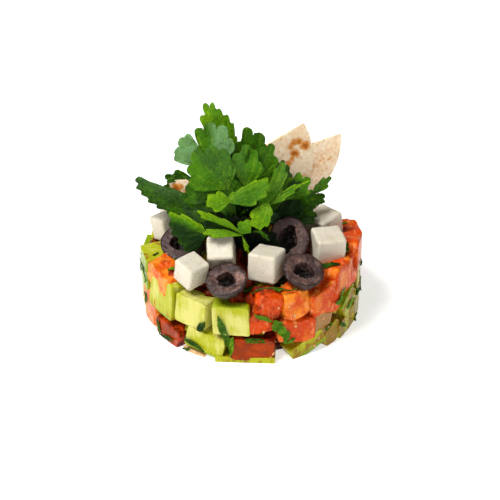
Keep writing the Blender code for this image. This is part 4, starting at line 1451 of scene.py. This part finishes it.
# the leaves' tints are partly painted light and shade: lit halves tinted lighter, shaded halves
# darker
SPRIGS = (
    # the upright leaves in front
    Sprig(((-3, -3, 26), (-5, -5, 38), (-7, -9, 48)), (
        Leaf((-9, -13, 63), (-23, -9, 76), -20, 16, ((-32, 0.87), (-16, 1.01), (2, 1.12),
             (25, 1.05), (42, 0.95), (54, 0.66)), 0.42, 0.3, 14, 12, 0, 0.48, 0.34, 0, 0.06),
        Leaf((-13, -12.5, 57.5), (-28, -9, 63.5), -30, 30, ((-18, 0.98), (-2, 0.9),
             (13, 0.73), (39, 0.56)), 0.4, 0.3, 12, 8, 0, 0.24, 0.4),
        Leaf((-2.5, -12, 62.4), (-2, -8, 81.1), 0, 12, ((-14, 0.84), (0, 1.01), (12, 0.92),
             (25, 0.72)), 0.18, 0.5, 14, 12, 0, 0.44, 0.48, 0.1),
        Leaf((-1, -9, 62), (9, -4, 79), 26, 12, ((-27, 0.88), (-13, 0.9), (-1, 1.03),
             (14, 0.85), (32, 0.6)), 0.35, 0.35, 14, 12, 0, 0.3, 0.48),
        Leaf((-7.1, -12.5, 51.3), (-19.5, -10.5, 66.3), -20, 20, ((-32, 1.07), (-20, 1.2),
             (8, 1.12), (25, 1.0), (43, 0.84)), 0.4, 0.3, 14, 10, 0, 0.3, 0.28, root=0.9),
        Leaf((-1.7, -12.5, 51.3), (1.7, -8, 66.9), 8, 16, ((-29, 0.87), (-12, 1.09),
             (12, 1.2), (37, 0.99)), 0.4, 0.3, 14, 10, 0, 0.22, 0.36, root=0.9),
        # painted shade: these broad filler leaves are tinted below 0 to stand for the dark shade
        # deep in the tuft
        Leaf((-8, -5, 43), (-9, -4, 61), -10, 10, BROAD, 0.45, 0.3, 14, 12, 0, -0.4, -0.3),
        Leaf((-4, -17, 37), (-3, -20.5, 55), 0, 10, BROAD, 0.45, 0.3, 10, 8, 0, -0.6, -0.6),
        Leaf((2, -20, 36), (6, -21, 49), 0, 10, BROAD, 0.45, 0.3, 10, 8, 0, -0.6, -0.5),
        Leaf((-14, -14, 38), (-18, -15, 54), -20, 10, BROAD, 0.45, 0.3, 10, 8, 0, -0.3, -0.5),
    )),
    # the tall leaves behind them
    Sprig(((-4, 3, 26), (-6, 4, 40), (-8, 4, 52)), (
        Leaf((-2, 0, 65), (1, 5, 82.5), 20, 10, ((-27, 0.77), (-10, 1.04), (12, 0.95),
             (34, 0.77)), 0.4, 0.3, 14, 10, 0, 0.5, 0.26),
        Leaf((-14, 2, 67), (-17, 6, 86), -22, 10, ((-36, 0.6), (-22, 0.92), (-3, 0.96),
             (21, 0.94), (39, 0.75)), 0.42, 0.35, 16, 10, 0, 0.42, 0.5, 0, 0.85),
        Leaf((-8, 8, 68), (-18.5, 11, 91.7), -24, 8, ((-13, 0.86), (-3, 1.01), (5, 0.99),
             (11, 0.88), (19, 0.77), (28, 0.64), (37, 0.42)), 0.8, 0.12, 10, 10, 0, 0.7, 0.58),
        Leaf((-4, -1, 50), (-3, 0, 70), 0, 10, BROAD, 0.45, 0.3, 14, 12, 0, 0.12, 0.16),
    )),
    # the leaves that reach out to the left
    Sprig(((-9, 0, 26), (-12, 0, 38), (-14, -1, 46)), (
        Leaf((-19, 8, 63.4), (-30.7, 11, 73.7), -34, 14, ((-30, 0.94), (-18, 0.98),
             (5, 1.06), (19, 1.06)), 0.3, 0.15, 10, 6, 0, 0.5, 0.5, 0.9, 0.9),
        Leaf((-16, -6, 49), (-49, 2, 59), -20, 62, ((-27, 0.57), (-20, 0.69), (-14, 0.8),
             (-8, 0.9), (-4, 0.98), (2, 1.03)), 0.45, 0.0, 12, 8, 0, 0.16, 0.26, 0, 0.2),
        Leaf((-5.4, -17, 47.5), (-22.2, -12.5, 54.6), -20, 40, ((-13, 1.2), (-6, 1.34),
             (3, 1.23), (17, 0.93), (38, 0.62)), 0.4, 0.3, 14, 10, 0, 0.1, 0.18, root=0.7),
        Leaf((-26.3, 14.5, 55.2), (-36.4, 14.5, 53.8), -20, 20, ((-4, 1.08), (4, 1.01),
             (12, 0.82)), 0.3, 0.3, 8, 6, 0, 0.15, 0.2),
        Leaf((-34.4, 15, 49.1), (-38.8, 15, 50.1), -20, 30, ((-17, 0.94), (6, 0.98),
             (31, 0.8)), 0.3, 0.3, 8, 6, 0, 0.2, 0.2),
        Leaf((-10, 4, 50), (-14, 12, 68), -60, 12, ROUND, 0.45, 0.3, 14, 10, 0, 0.25, 0.3),
    )),
    # the low bright leaves in front
    Sprig(((-2, -9, 26), (-3, -12, 34), (-4, -13, 41)), (
        Leaf((-18, -20, 46), (-36, -15, 53), -30, 50, ((-72, 0.54), (-58, 0.59),
             (-38, 0.64), (-22, 0.77), (-10, 0.85), (3, 0.93), (11, 0.71), (22, 0.37)),
             0.45, 0.25, 0, 12, -26, 0.05, 0.85, painted_rim_light=0.05),
        Leaf((-3.1, -25, 48.4), (-22.3, -24, 58.4), -10, 60, ((-3, 0.9), (1, 1.0),
             (5, 0.8), (9, 0.5)), 0.23, 0.25, 10, 14, 0, 0.5, 0.7, painted_rim_light=0.2),
        Leaf((-4.5, -23.5, 48), (-19.8, -23, 53.7), -10, 45, ((-16, 0.91), (-3, 0.99),
             (9, 0.9)), 0.4, 0.4, 10, 10, 0, 0.02, 0.1, root=0.6),
        Leaf((-3.1, -25.5, 48.2), (-19.7, -27, 50.7), -5, 50, ((-7, 0.8), (-1, 1.0),
             (5, 0.93), (9, 0.54)), 0.23, 0.3, 10, 10, 0, 0.6, 0.55, painted_rim_light=0.15),
        Leaf((-8, -20.3, 61.4), (-18.4, -22, 62.1), -14, 34, ((-24, 0.8), (-6, 1.0),
             (13, 0.96), (29, 0.68)), 0.11, 0.3, 20, 14, 0, 0.62, 0.68, painted_rim_light=0.1),
        Leaf((-10.8, -20, 60.7), (7, -16, 69), 6, 40, ((-22, 0.28), (-11, 0.5), (-8, 0.8),
             (-2, 1.02), (7, 0.98), (17, 0.88), (28, 0.66)), 0.3, 0.2, 10, 14, 0, 0.6, 0.4,
             painted_rim_light=0.2),
        Leaf((7.3, -19, 60.6), (1.3, -24, 51.2), -6, 30, ((-36, 0.5), (-24, 0.85), (-9, 1.0),
             (7, 1.0), (19, 0.8)), 0.1, 0.45, 14, 14, 0, 0.6, 0.66, painted_rim_light=0.1),
        Leaf((0, -24, 48.6), (-4.5, -21, 52.1), -6, 30, ((-33, 0.92), (-6, 1.08), (25, 0.92)),
             0.3, 0.3, 14, 14, 0, 0.5, 0.6, painted_rim_light=0.1),
        Leaf((6.2, -17, 57.5), (20.8, -12, 64.9), 10, 50, ((-7, 0.45), (0, 1.0),
             (6, 0.78), (12, 0.5)), 0.23, 0.2, 10, 12, 0, 0.44, 0.5, painted_rim_light=0.2),
        Leaf((-3.6, -25, 47.6), (-0.6, -27, 40.5), -5, 30, ((-6, 0.7), (1, 1.0), (8, 0.8)),
             0.23, 0.3, 0, 6, 0, 0.6, 0.7),
        Leaf((2.8, -24.5, 50.9), (7.7, -26, 45.9), 0, 30, ((-7, 0.75), (0, 1.0), (7, 0.7)),
             0.2, 0.3, 0, 10, 0, 0.3, 0.16),
    )),
    # the leaves to the right of the middle
    Sprig(((3, -3, 26), (5, -5, 36), (7, -7, 46)), (
        Leaf((5.1, -11, 53.8), (12.5, -8, 72.4), 20, 16, ((-9, 0.57), (-6, 0.89), (2, 1.05),
             (12, 0.89), (21, 0.56)), 0.22, 0.3, 12, 10, 0, 0.52, 0.58, 0, 0.12),
        Leaf((13.5, -8, 55.6), (21.9, -3, 65.8), 30, 34, ((-38, 0.48), (-20, 0.72),
             (-5, 0.96), (15, 1.04), (34, 0.82)),
             0.5, 0.25, 14, 14, 0, 0.36, 0.34, painted_rim_light=0.2),
        # painted shade: tinted below 0 to stand for the shade among the leaves
        Leaf((12.8, -10.5, 60.0), (21, -9.5, 64.5), 14, 50, FINGER, 0.4, 0.3, 0, 6, 0, -0.2, -0.1),
        Leaf((11.7, -12, 60.5), (24.2, -9, 65.1), 14, 64, ((-4, 0.6), (0, 1.0), (3, 0.7)),
             0.14, 0.2, 10, 10, 0, 0.8, 0.66, painted_rim_light=0.2),
        Leaf((5.6, -8, 47), (15.3, -3.5, 59), 24, 24, ((-34, 0.77), (-19, 1.05), (1, 1.15),
             (21, 1.17), (39, 1.09)), 0.45, 0.3, 14, 10, 0, 0.28, 0.1, root=0.7),
        Leaf((15.4, -9, 43.6), (9.4, -7, 51.2), 6, 20, ((-22, 1.06), (0, 1.06), (17, 0.89),
             (48, 0.71), (91, 0.64)), 0.45, 0.3, 14, 10, 0, 0.05, 0.0, 0.3),
        # painted shade: a filler leaf tinted below 0 to stand for the shade inside the tuft
        Leaf((9, -7, 43), (11, -6, 59), 10, 10, BROAD, 0.45, 0.3, 14, 12, 0, -0.3, -0.2),
    )),
    # the dark leaves to the right
    Sprig(((6, 4, 26), (9, 3, 34), (12, 0, 40)), (
        Leaf((26.1, -1, 54.4), (33.3, 1, 61.5), 24, 44, ((-20, 0.5), (-11, 0.88), (2, 1.09),
             (14, 0.8)), 0.45, 0.25, 10, 8, 0, 0.34, 0.28, 0.05),
        Leaf((13.8, -4, 47.2), (31.4, 0, 52.9), 26, 52, ((-26, 0.57), (-15, 0.85), (-2, 1.04),
             (6, 0.99), (12, 0.76), (20, 0.57)), 0.45, 0.3, 12, 10, 0, 0.34, 0.24),
        Leaf((17.6, -6, 45.4), (27.3, -6, 48.3), 30, 50, ((-35, 0.69), (-14, 0.99),
             (4, 1.07), (21, 0.99), (42, 0.69)), 0.4, 0.3, 10, 10, 0, 0.2, 0.12),
        Leaf((14, 3, 45), (25, 10, 53), 95, 30, FINGER, 0.45, 0.3, 14, 12, 0, 0.2, 0.3),
        Leaf((8, 4, 50), (14, 9, 66), 60, 12, ROUND, 0.45, 0.3, 14, 10, 0, 0.25, 0.3),
    )),
    # the leaves that lean out at the back
    Sprig(((-10, 20, 26), (-11, 21, 34), (-12, 22, 40)), (
        Leaf((-20, 19, 46), (-38, 19, 54), -12, 8, FINGER, 0.45, 0.3, 10, 10, 0, 0.2, 0.3),
        Leaf((-14, 25, 44), (-20, 36, 55), 200, 40, ROUND, 0.45, 0.3, 14, 14, 0, 0.5, 0.35),
        Leaf((-8, 25, 44), (6, 35, 54), 160, 40, ROUND, 0.45, 0.3, 14, 14, 0, 0.35, 0.5),
        Leaf((-11, 24, 48), (-8, 29, 67), 184, 12, ROUND, 0.45, 0.3, 14, 12, 0, 0.4, 0.45),
    )),
)

STRAY_STEMS = (
    ((0.5, -43.0, 31.0), (4.0, -43.5, 33.4), (10.0, -43.5, 34.0), (16.0, -43.0, 32.4),
     (20.5, -41.5, 34.0)),
)


@dataclass
class ParsleyTuft:
    """The tuft of parsley: lobed leaves with crinkled blades on ribbed stalks."""

    columns_per_lobe: int = 14
    rings: int = 20
    thickness: float = 0.34 * MM
    tooth: float = 0.16
    pleat: float = 0.2 * MM
    ruffle: float = 1.0 * MM
    stalk_radius: float = 0.9 * MM
    petiole_share: float = 0.7
    stray_share: float = 0.35
    tube_sides: int = 12
    tube_steps: int = 6

    @staticmethod
    def lobe_swell(share: float, power: float) -> float:
        """Return how far a round lobe reaches at a share of its width, from 0 to 1."""
        off = abs(2.0 * (share % 1.0) - 1.0)
        return (1.0 - off ** power) ** (1.0 / power)

    @staticmethod
    def between(lobes: Lobes, lobe: float) -> tuple[float, float, float]:
        """Return what an outline is like at a place counted in lobes.

        Args:
            lobes: the outline.
            lobe: the place, where each lobe's middle lies half-way between whole numbers.

        Returns:
            The angle in degrees, the reach before any notch and a lobe's width in radians.
        """
        place = lobe - 0.5
        index = min(max(int(math.floor(place)), 0), len(lobes) - 2)
        part = place - index
        near, far = lobes[index], lobes[index + 1]
        angle = near[0] + part * (far[0] - near[0])
        step = ease(1.9 * (part - 0.5) + 0.5)
        return angle, near[1] + step * (far[1] - near[1]), math.radians(far[0] - near[0])

    def edge_share(self, notch: float, lobe: float, share: float) -> float:
        """Return how much the notches and teeth leave of a leaf's reach.

        Args:
            notch: how deep the cuts are, as a share of the reach.
            lobe: the place across the leaf, counted in lobes.
            share: the place from the base at 0 to the edge at 1.

        Returns:
            The share that is left, which is 1 at each lobe's tip.
        """
        deep = notch * (1.0 - self.lobe_swell(lobe, 2.3))
        tooth = self.tooth * notch * (1.0 - self.lobe_swell(2.0 * lobe + 0.5, 2.0))
        return 1.0 - deep * share ** 4 - tooth * share ** 8

    def add_leaf(self, bm: bmesh.types.BMesh, leaf: Leaf, seed: float) -> None:
        """Add one leaf: a thin closed blade, cupped, curled, folded and crinkled.

        Args:
            bm: the sprig's mesh.
            leaf: its size, place and looks.
            seed: gives the leaf ruffles of its own.
        """
        base = Vector(leaf.base) * MM
        run = Vector(leaf.tip) * MM - base
        length = run.length
        blade = bmesh.new()
        layers = {name: blade.verts.layers.float.new(name) for name in LEAF_LAYERS}
        bmesh.ops.create_grid(blade, x_segments=self.columns_per_lobe * len(leaf.lobes),
                              y_segments=self.rings, size=1.0)
        cup = math.radians(leaf.cup) / length
        curl = math.radians(leaf.curl) / length
        fold = math.tan(math.radians(leaf.fold))
        for vert in blade.verts:
            share = 0.5 * (vert.co.y + 1.0)
            lobe = 0.5 * (vert.co.x + 1.0) * len(leaf.lobes)
            angle, reach, width = self.between(leaf.lobes, lobe)
            middle = self.between(leaf.lobes, math.floor(min(
                lobe, len(leaf.lobes) - 0.01)) + 0.5)[0]
            reach *= length * share * self.edge_share(leaf.notch * width, lobe, share)
            full = 1.0 + leaf.belly * math.sin(math.pi * share)
            x = reach * math.sin(math.radians(angle)) * full
            y = reach * math.cos(math.radians(angle))
            z = cup * x * x - curl * y * (y - length) + fold * math.sqrt(x * x + 1e-6)
            z -= self.pleat * min(2.5 * width, 1.0) * math.cos(math.tau * (lobe - 0.5)) * share
            ruffle = roughly(Vector((x, y, 0.0)), 6.0 * MM, seed)
            z += self.ruffle * ruffle.z * ease(1.4 * share)
            side = ease(0.5 + x / (0.3 * length))
            # painted rim light: the tint is raised towards the edge, where light catches the rim
            edge = ease((share - 0.72) / 0.28)
            tint = leaf.left + (leaf.right - leaf.left) * side + leaf.painted_rim_light * edge
            # painted shade: the tint drops towards the base, down in the shaded tuft
            vert[layers["tint"]] = tint - leaf.root * (1.0 - ease(share / 0.5))
            # painted sheen: how much grey-blue reflection each half is given
            vert[layers["pale_back_and_sheen"]] = leaf.back_sheen_left + (
                leaf.back_sheen_right - leaf.back_sheen_left) * side
            vert[layers["off"]] = abs(math.radians(angle - middle)) * reach / MM
            vert[layers["reach"]] = reach / MM
            vert.co = Vector((x, y, z))
        bmesh.ops.remove_doubles(blade, verts=blade.verts[:], dist=1e-6)
        blade.normal_update()
        for vert in doubled(blade):
            vert.co.z -= self.thickness
        facing = on_bearing(leaf.bearing, math.cos(math.radians(leaf.rise)),
                            math.sin(math.radians(leaf.rise)))
        forward = run.normalized()
        side_way = forward.cross(facing).normalized()
        upward = side_way.cross(forward)
        turn = Matrix((side_way, forward, upward)).transposed().to_4x4()
        bmesh.ops.transform(blade, matrix=Matrix.Translation(base) @ turn,
                            verts=blade.verts[:])
        bmesh.ops.recalc_face_normals(blade, faces=blade.faces)
        pour(blade, bm)

    def add_tube(self, bm: bmesh.types.BMesh, points: Sequence[Vector], radius: float) -> None:
        """Add a closed tube along a smooth way through a few points.

        Args:
            bm: the mesh to add to.
            points: the way.
            radius: the tube's radius.
        """
        rings = []
        count = self.tube_steps * (len(points) - 1)
        way = [self.along(points, index / count) for index in range(count + 1)]
        for index, point in enumerate(way):
            before = way[max(index - 1, 0)]
            after = way[min(index + 1, count)]
            turn = (after - before).to_track_quat("Z", "Y").to_matrix().to_4x4()
            ring = set(bmesh.ops.create_circle(
                bm, segments=self.tube_sides, radius=radius,
                matrix=Matrix.Translation(point) @ turn)["verts"])
            rings.append(list({edge for vert in ring for edge in vert.link_edges}))
        for low, high in zip(rings, rings[1:]):
            bmesh.ops.bridge_loops(bm, edges=low + high)
        bmesh.ops.holes_fill(bm, edges=rings[0] + rings[-1])

    @staticmethod
    def along(points: Sequence[Vector], share: float) -> Vector:
        """Return a point on the smooth way through some points, from 0 to 1."""
        place = share * (len(points) - 1)
        index = min(int(place), len(points) - 2)
        part = place - index
        start, end = points[index], points[index + 1]
        before = points[max(index - 1, 0)]
        after = points[min(index + 2, len(points) - 1)]
        pull = 0.5 * (end - before)
        push = 0.5 * (after - start)
        return (
            start * (2 * part ** 3 - 3 * part ** 2 + 1) + pull * (part ** 3 - 2 * part ** 2 + part)
            + end * (3 * part ** 2 - 2 * part ** 3) + push * (part ** 3 - part ** 2))

    def build(self, leaf_finish: bpy.types.Material, stalk_finish: bpy.types.Material) -> None:
        """Build every sprig: its leaves in one piece and all the stalks in another.

        Args:
            leaf_finish: the leaves' finish.
            stalk_finish: the stalks' finish.
        """
        stalks = bmesh.new()
        for number, sprig in enumerate(SPRIGS, start=1):
            bm = bmesh.new()
            for name in LEAF_LAYERS:
                bm.verts.layers.float.new(name)
            way = [Vector(point) * MM for point in sprig.stalk]
            self.add_tube(stalks, way, self.stalk_radius)
            for index, leaf in enumerate(sprig.leaves):
                base = Vector(leaf.base) * MM
                run = (Vector(leaf.tip) * MM - base).normalized()
                middle = 0.5 * (way[-1] + base) + Vector((0.0, 0.0, 0.6 * MM))
                self.add_tube(stalks, [way[-1], middle, base + 2.0 * MM * run],
                              self.petiole_share * self.stalk_radius)
                self.add_leaf(bm, leaf, 10.0 * number + index)
            name = f"parsley_sprig_{number:02d}"
            finish_piece(name + "_leaves", bm, leaf_finish, (name,), 70.0)
        for way in STRAY_STEMS:
            self.add_tube(stalks, [Vector(point) * MM for point in way],
                          self.stray_share * self.stalk_radius)
        finish_piece("parsley_stalks", stalks, stalk_finish)


# ---------------------------------------------------------------- shreds, seeds

class Shred(NamedTuple):
    """A cut shred of parsley.

    Its place is a bearing and a height on the wall, or a place across and along on top.  Its
    turn is in degrees, and its tint runs from deep green at 0 to lime at 1.
    """

    place: tuple[float, float]
    length: float
    width: float
    turn: float
    tint: float


WALL_SHREDS = (
    Shred((-13, 14.0), 18.4, 3.0, -78, 0.3),
    Shred((-29, 5.7), 10.0, 2.2, -28, 0.2),
    Shred((-54, 5.0), 8.4, 1.6, -84, 0.2),
    Shred((-47, 2.5), 8.0, 1.8, 3, 0.1),
    Shred((-35, 1.0), 5.0, 1.8, 20, 0.2),
    Shred((6, 22.5), 8.3, 1.8, -31, 0.35),
    Shred((14, 16.6), 10.0, 4.6, -70, 0.42),
    Shred((10.5, 13.0), 6.0, 2.4, -30, 0.38),
    Shred((17.5, 12.0), 6.5, 2.6, -118, 0.38),
    Shred((20, 9.4), 4.5, 1.8, 30, 0.4),
    Shred((-9.5, 8.5), 9.0, 2.0, -100, 0.55),
    Shred((52, 23.0), 6.0, 2.2, 40, 0.5),
    Shred((51, 19.9), 8.0, 2.4, -14, 0.45),
    Shred((2, 11.2), 8.8, 1.6, -8, 0.25),
    Shred((43, 9.9), 5.9, 1.6, 2, 0.35),
    Shred((54, 6.4), 7.0, 1.6, -44, 0.3),
    Shred((62, 13.6), 8.1, 2.2, 3, 0.6),
    Shred((-25, 15.5), 6.0, 3.0, 51, 0.15),
)
TOP_SHREDS = (
    Shred((-33.0, -26.0), 4.5, 1.6, 20, 0.5),
    Shred((-31.0, -20.0), 3.5, 1.4, 10, 0.4),
    Shred((-1.0, -38.0), 6.0, 4.0, 40, 0.2),
    Shred((32.6, -28.0), 9.0, 3.4, -16, 0.12),
    Shred((38.0, -17.0), 6.0, 2.6, 10, 0.15),
    Shred((13.0, -28.0), 8.0, 3.0, 70, 0.1),
)


SEED_SIZE = (0.55, 0.3, 0.85)
CLEAN_SIDE = 270.0              # the cut cucumber has no seeds on it from this bearing on


@dataclass
class Garnish:
    """Shreds of parsley and tomato seeds that cling to the drum."""

    ground: tuple[bpy.types.Object, ...]
    wall_shreds: int = 50
    top_shreds: int = 46
    seeds: int = 90
    lift: float = 0.16 * MM
    thickness: float = 0.25 * MM
    clearance: float = 0.02 * MM
    lowest: float = 0.2 * MM
    sag: float = 1.2 * MM
    rise: float = 0.8 * MM
    seed: int = 5

    def __post_init__(self) -> None:
        """Join the ground into one tree of faces to drop things on."""
        self.rng = random.Random(self.seed)
        bm = bmesh.new()
        for piece in self.ground:
            bm.from_mesh(piece.data)
        self.tree = BVHTree.FromBMesh(bm)
        bm.free()

    def wall_point(self, bearing: float, height: float) -> tuple[Vector, float]:
        """Return where a ray towards the axis meets the wall, and that point's radius."""
        start = on_bearing(bearing, 60.0 * MM, height)
        hit = self.tree.ray_cast(start, -on_bearing(bearing, 1.0, 0.0))[0]
        radius = math.hypot(hit.x, hit.y) if hit else 44.0 * MM
        return on_bearing(bearing, radius, height), radius

    def top_height(self, x: float, y: float) -> float:
        """Return how high the heap is at a place."""
        hit = self.tree.ray_cast(Vector((x, y, 0.07)), Vector((0.0, 0.0, -1.0)))[0]
        return hit.z if hit else 28.0 * MM

    def add_shred(self, bm: bmesh.types.BMesh, shred: Shred,
                  settle: Callable[[float, float], float],
                  lay: Callable[[float, float, float], Vector]) -> None:
        """Add one shred, bent over what it lies on.

        Args:
            bm: the mesh to add to.
            shred: its size and looks.
            settle: returns the ground's level at a place on the flat.
            lay: returns the point for a place on the flat and a level.
        """
        blade = bmesh.new()
        layer = blade.verts.layers.float.new("tint")
        bmesh.ops.create_grid(blade, x_segments=20, y_segments=3, size=1.0)
        cosine = math.cos(math.radians(shred.turn))
        sine = math.sin(math.radians(shred.turn))
        length, width = shred.length * MM, shred.width * MM
        places = {}
        for vert in blade.verts:
            along, across = vert.co.x, vert.co.y
            full = (1.0 - along * along) ** 0.8 * (1.0 - 0.25 * along) + 0.03
            full *= 1.0 + 0.5 * noise.noise(
                (3.5 * along, 2.0 * math.copysign(1.0, across), shred.turn))
            bow = 0.14 * width * math.sin(2.2 * along)
            u = 0.5 * length * along
            v = 0.5 * width * across * full + bow
            place = (u * cosine - v * sine, u * sine + v * cosine)
            places[vert] = (along, across, place, settle(*place))
        levels = sorted(item[3] for item in places.values())
        high = levels[int(0.8 * len(levels))]
        for vert, (along, across, place, level) in places.items():
            level = min(max(level, high - self.sag), high + self.rise)
            curl = 0.5 * MM * along * along + 0.18 * width * across * across
            vert.co = lay(*place, level + self.lift + curl)
            vert[layer] = shred.tint
        bmesh.ops.solidify(blade, geom=blade.faces[:], thickness=self.thickness)
        for vert in blade.verts:
            vert.co.z = max(vert.co.z, self.clearance)
        pour(blade, bm)

    def add_wall_shred(self, bm: bmesh.types.BMesh, shred: Shred) -> None:
        """Add a shred on the wall."""
        def spot(u: float, v: float) -> tuple[float, float]:
            """Return the bearing and the height of a place."""
            bearing, height = shred.place
            return (bearing + math.degrees(u / RING_RADIUS),
                    max(height * MM + v, self.lowest))

        def lay(u: float, v: float, level: float) -> Vector:
            """Return the point at a place and a radius."""
            bearing, height = spot(u, v)
            return on_bearing(bearing, level, height)

        self.add_shred(bm, shred, lambda u, v: self.wall_point(*spot(u, v))[1], lay)

    def add_top_shred(self, bm: bmesh.types.BMesh, shred: TopShred) -> None:
        """Add a shred on top of the heap."""
        x, y = (item * MM for item in shred.place)
        self.add_shred(bm, shred, lambda u, v: self.top_height(x + u, y + v),
                       lambda u, v, level: Vector((x + u, y + v, level)))

    def build_shreds(self, material: bpy.types.Material) -> bpy.types.Object:
        """Build every shred as one piece.

        Args:
            material: the finish.

        Returns:
            The piece.
        """
        rng = self.rng
        bm = bmesh.new()
        bm.verts.layers.float.new("tint")
        for shred in WALL_SHREDS:
            self.add_wall_shred(bm, shred)
        for _ in range(self.wall_shreds):
            place = (rng.uniform(68.0, 296.0), rng.uniform(1.5, 27.0))
            self.add_wall_shred(bm, Shred(
                place, rng.uniform(2.5, 9.0), rng.uniform(1.0, 2.6),
                rng.uniform(0.0, 180.0), rng.uniform(0.1, 0.6)))
        for shred in TOP_SHREDS:
            self.add_top_shred(bm, shred)
        for index in range(self.top_shreds):
            place = on_bearing(TURN_BETWEEN * index, 44.0 * math.sqrt(
                (index + 0.5) / self.top_shreds), 0.0)
            self.add_top_shred(bm, Shred(
                (place.x, place.y), rng.uniform(2.5, 8.0), rng.uniform(1.0, 2.6),
                rng.uniform(0.0, 180.0), rng.uniform(0.1, 0.5)))
        return finish_piece("parsley_shreds", bm, material)

    def build_seeds(self, material: bpy.types.Material) -> bpy.types.Object:
        """Build the tomato seeds as one piece.

        Args:
            material: the finish.

        Returns:
            The piece.
        """
        rng = self.rng
        bm = bmesh.new()
        for index in range(self.seeds):
            bearing = rng.uniform(0.0, 360.0)
            height = rng.uniform(1.5, 27.0) * MM
            if bearing > CLEAN_SIDE:
                continue
            point = self.wall_point(bearing, height)[0]
            size = Vector(SEED_SIZE) * MM * rng.uniform(0.8, 1.2)
            place = (
                Matrix.Translation(point)
                @ Matrix.Rotation(math.radians(bearing), 4, "Z")
                @ Matrix.Rotation(rng.uniform(0.0, math.tau), 4, "Y")
                @ Matrix.Diagonal((*size, 1.0))
            )
            bmesh.ops.create_icosphere(bm, subdivisions=2, radius=1.0, matrix=place)
        return finish_piece("tomato_seeds", bm, material)


# ---------------------------------------------------------------- the studio

@dataclass
class Studio:
    """A plain white floor, soft light from above and the camera."""

    distance: float = 0.520
    elevation: float = 30.0
    target: Triple = (-0.0004, 0.0, 0.0266)
    lens: float = 85.0

    def build_floor(self) -> None:
        """Build the floor."""
        bm = bmesh.new()
        bmesh.ops.create_grid(bm, x_segments=4, y_segments=4, size=4.0)
        floor = put("floor", as_mesh("floor", bm))
        material, sheet, shader = start_material("studio_floor")
        sheet.dress(shader, Base_Color=(0.9, 0.9, 0.9), Roughness=0.9, Specular_IOR_Level=0.0,
                    Emission_Color=(1.0, 1.0, 1.0), Emission_Strength=0.55)
        floor.data.materials.append(material)
        floor.location.z = -0.02 * MM

    def add_area(self, name: str, place: Triple, aim: Triple, size: float,
                 energy: float) -> None:
        """Add a soft square light.

        Args:
            name: its name.
            place: where it hangs, in metres.
            aim: the point that it faces.
            size: its edge, in metres.
            energy: its power, in watts.
        """
        light = bpy.data.lights.new(name, "AREA")
        light.shape = "SQUARE"
        light.size = size
        light.energy = energy
        lamp = put(name, light)
        lamp.location = place
        way = Vector(aim) - Vector(place)
        lamp.rotation_euler = way.to_track_quat("-Z", "Y").to_euler()

    def build_light(self) -> None:
        """Build the world's even light and the lamps."""
        world = bpy.data.worlds.new("studio")
        world.use_nodes = True
        background = world.node_tree.nodes["Background"]
        background.inputs["Color"].default_value = (1.0, 1.0, 1.0, 1.0)
        background.inputs["Strength"].default_value = 0.24
        bpy.context.scene.world = world
        self.add_area("key", (-0.35, -0.22, 0.7), (0.0, 0.0, 0.03), 0.35, 7.5)
        self.add_area("fill", (0.3, -0.8, 0.35), (0.0, 0.0, 0.03), 0.5, 1.2)

    def build_camera(self) -> None:
        """Build the camera."""
        data = bpy.data.cameras.new("camera")
        data.lens = self.lens
        data.sensor_width = 36.0
        camera = put("camera", data)
        angle = math.radians(self.elevation)
        target = Vector(self.target)
        camera.location = target + self.distance * Vector(
            (0.0, -math.cos(angle), math.sin(angle)))
        camera.rotation_euler = (0.5 * math.pi - angle, 0.0, 0.0)
        bpy.context.scene.camera = camera

    def build(self) -> None:
        """Build the floor, the light and the camera."""
        self.build_floor()
        self.build_light()
        self.build_camera()
        bpy.context.scene.view_settings.view_transform = "Standard"


# ---------------------------------------------------------------- the whole salad


def main() -> None:
    """Build the salad and the studio."""
    logging.basicConfig(level=logging.INFO, format="%(name)s %(message)s")
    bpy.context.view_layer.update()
    noise.seed_set(NOISE_SEED)
    effects = Effects.build()
    finishes = {
        Kind.CUCUMBER: CucumberFinish().build(effects),
        Kind.TOMATO: TomatoFinish().build(effects),
        Kind.ONION: OnionFinish().build(effects),
    }
    drum = DicedDrum().build(finishes, ShadedCoreFinish().build(effects))
    FetaCubes().build(FetaFinish().build(effects))
    OliveHalves().build(OliveFinish().build(effects))
    FlatbreadWedges().build(FlatbreadFinish().build(effects))
    leaf = LeafFinish().build(effects)
    ParsleyTuft().build(leaf, StalkFinish().build(effects))
    garnish = Garnish(tuple(drum))
    garnish.build_shreds(leaf)
    garnish.build_seeds(SeedFinish().build(effects))
    Studio().build()
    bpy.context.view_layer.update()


if __name__ == "__main__":
    main()
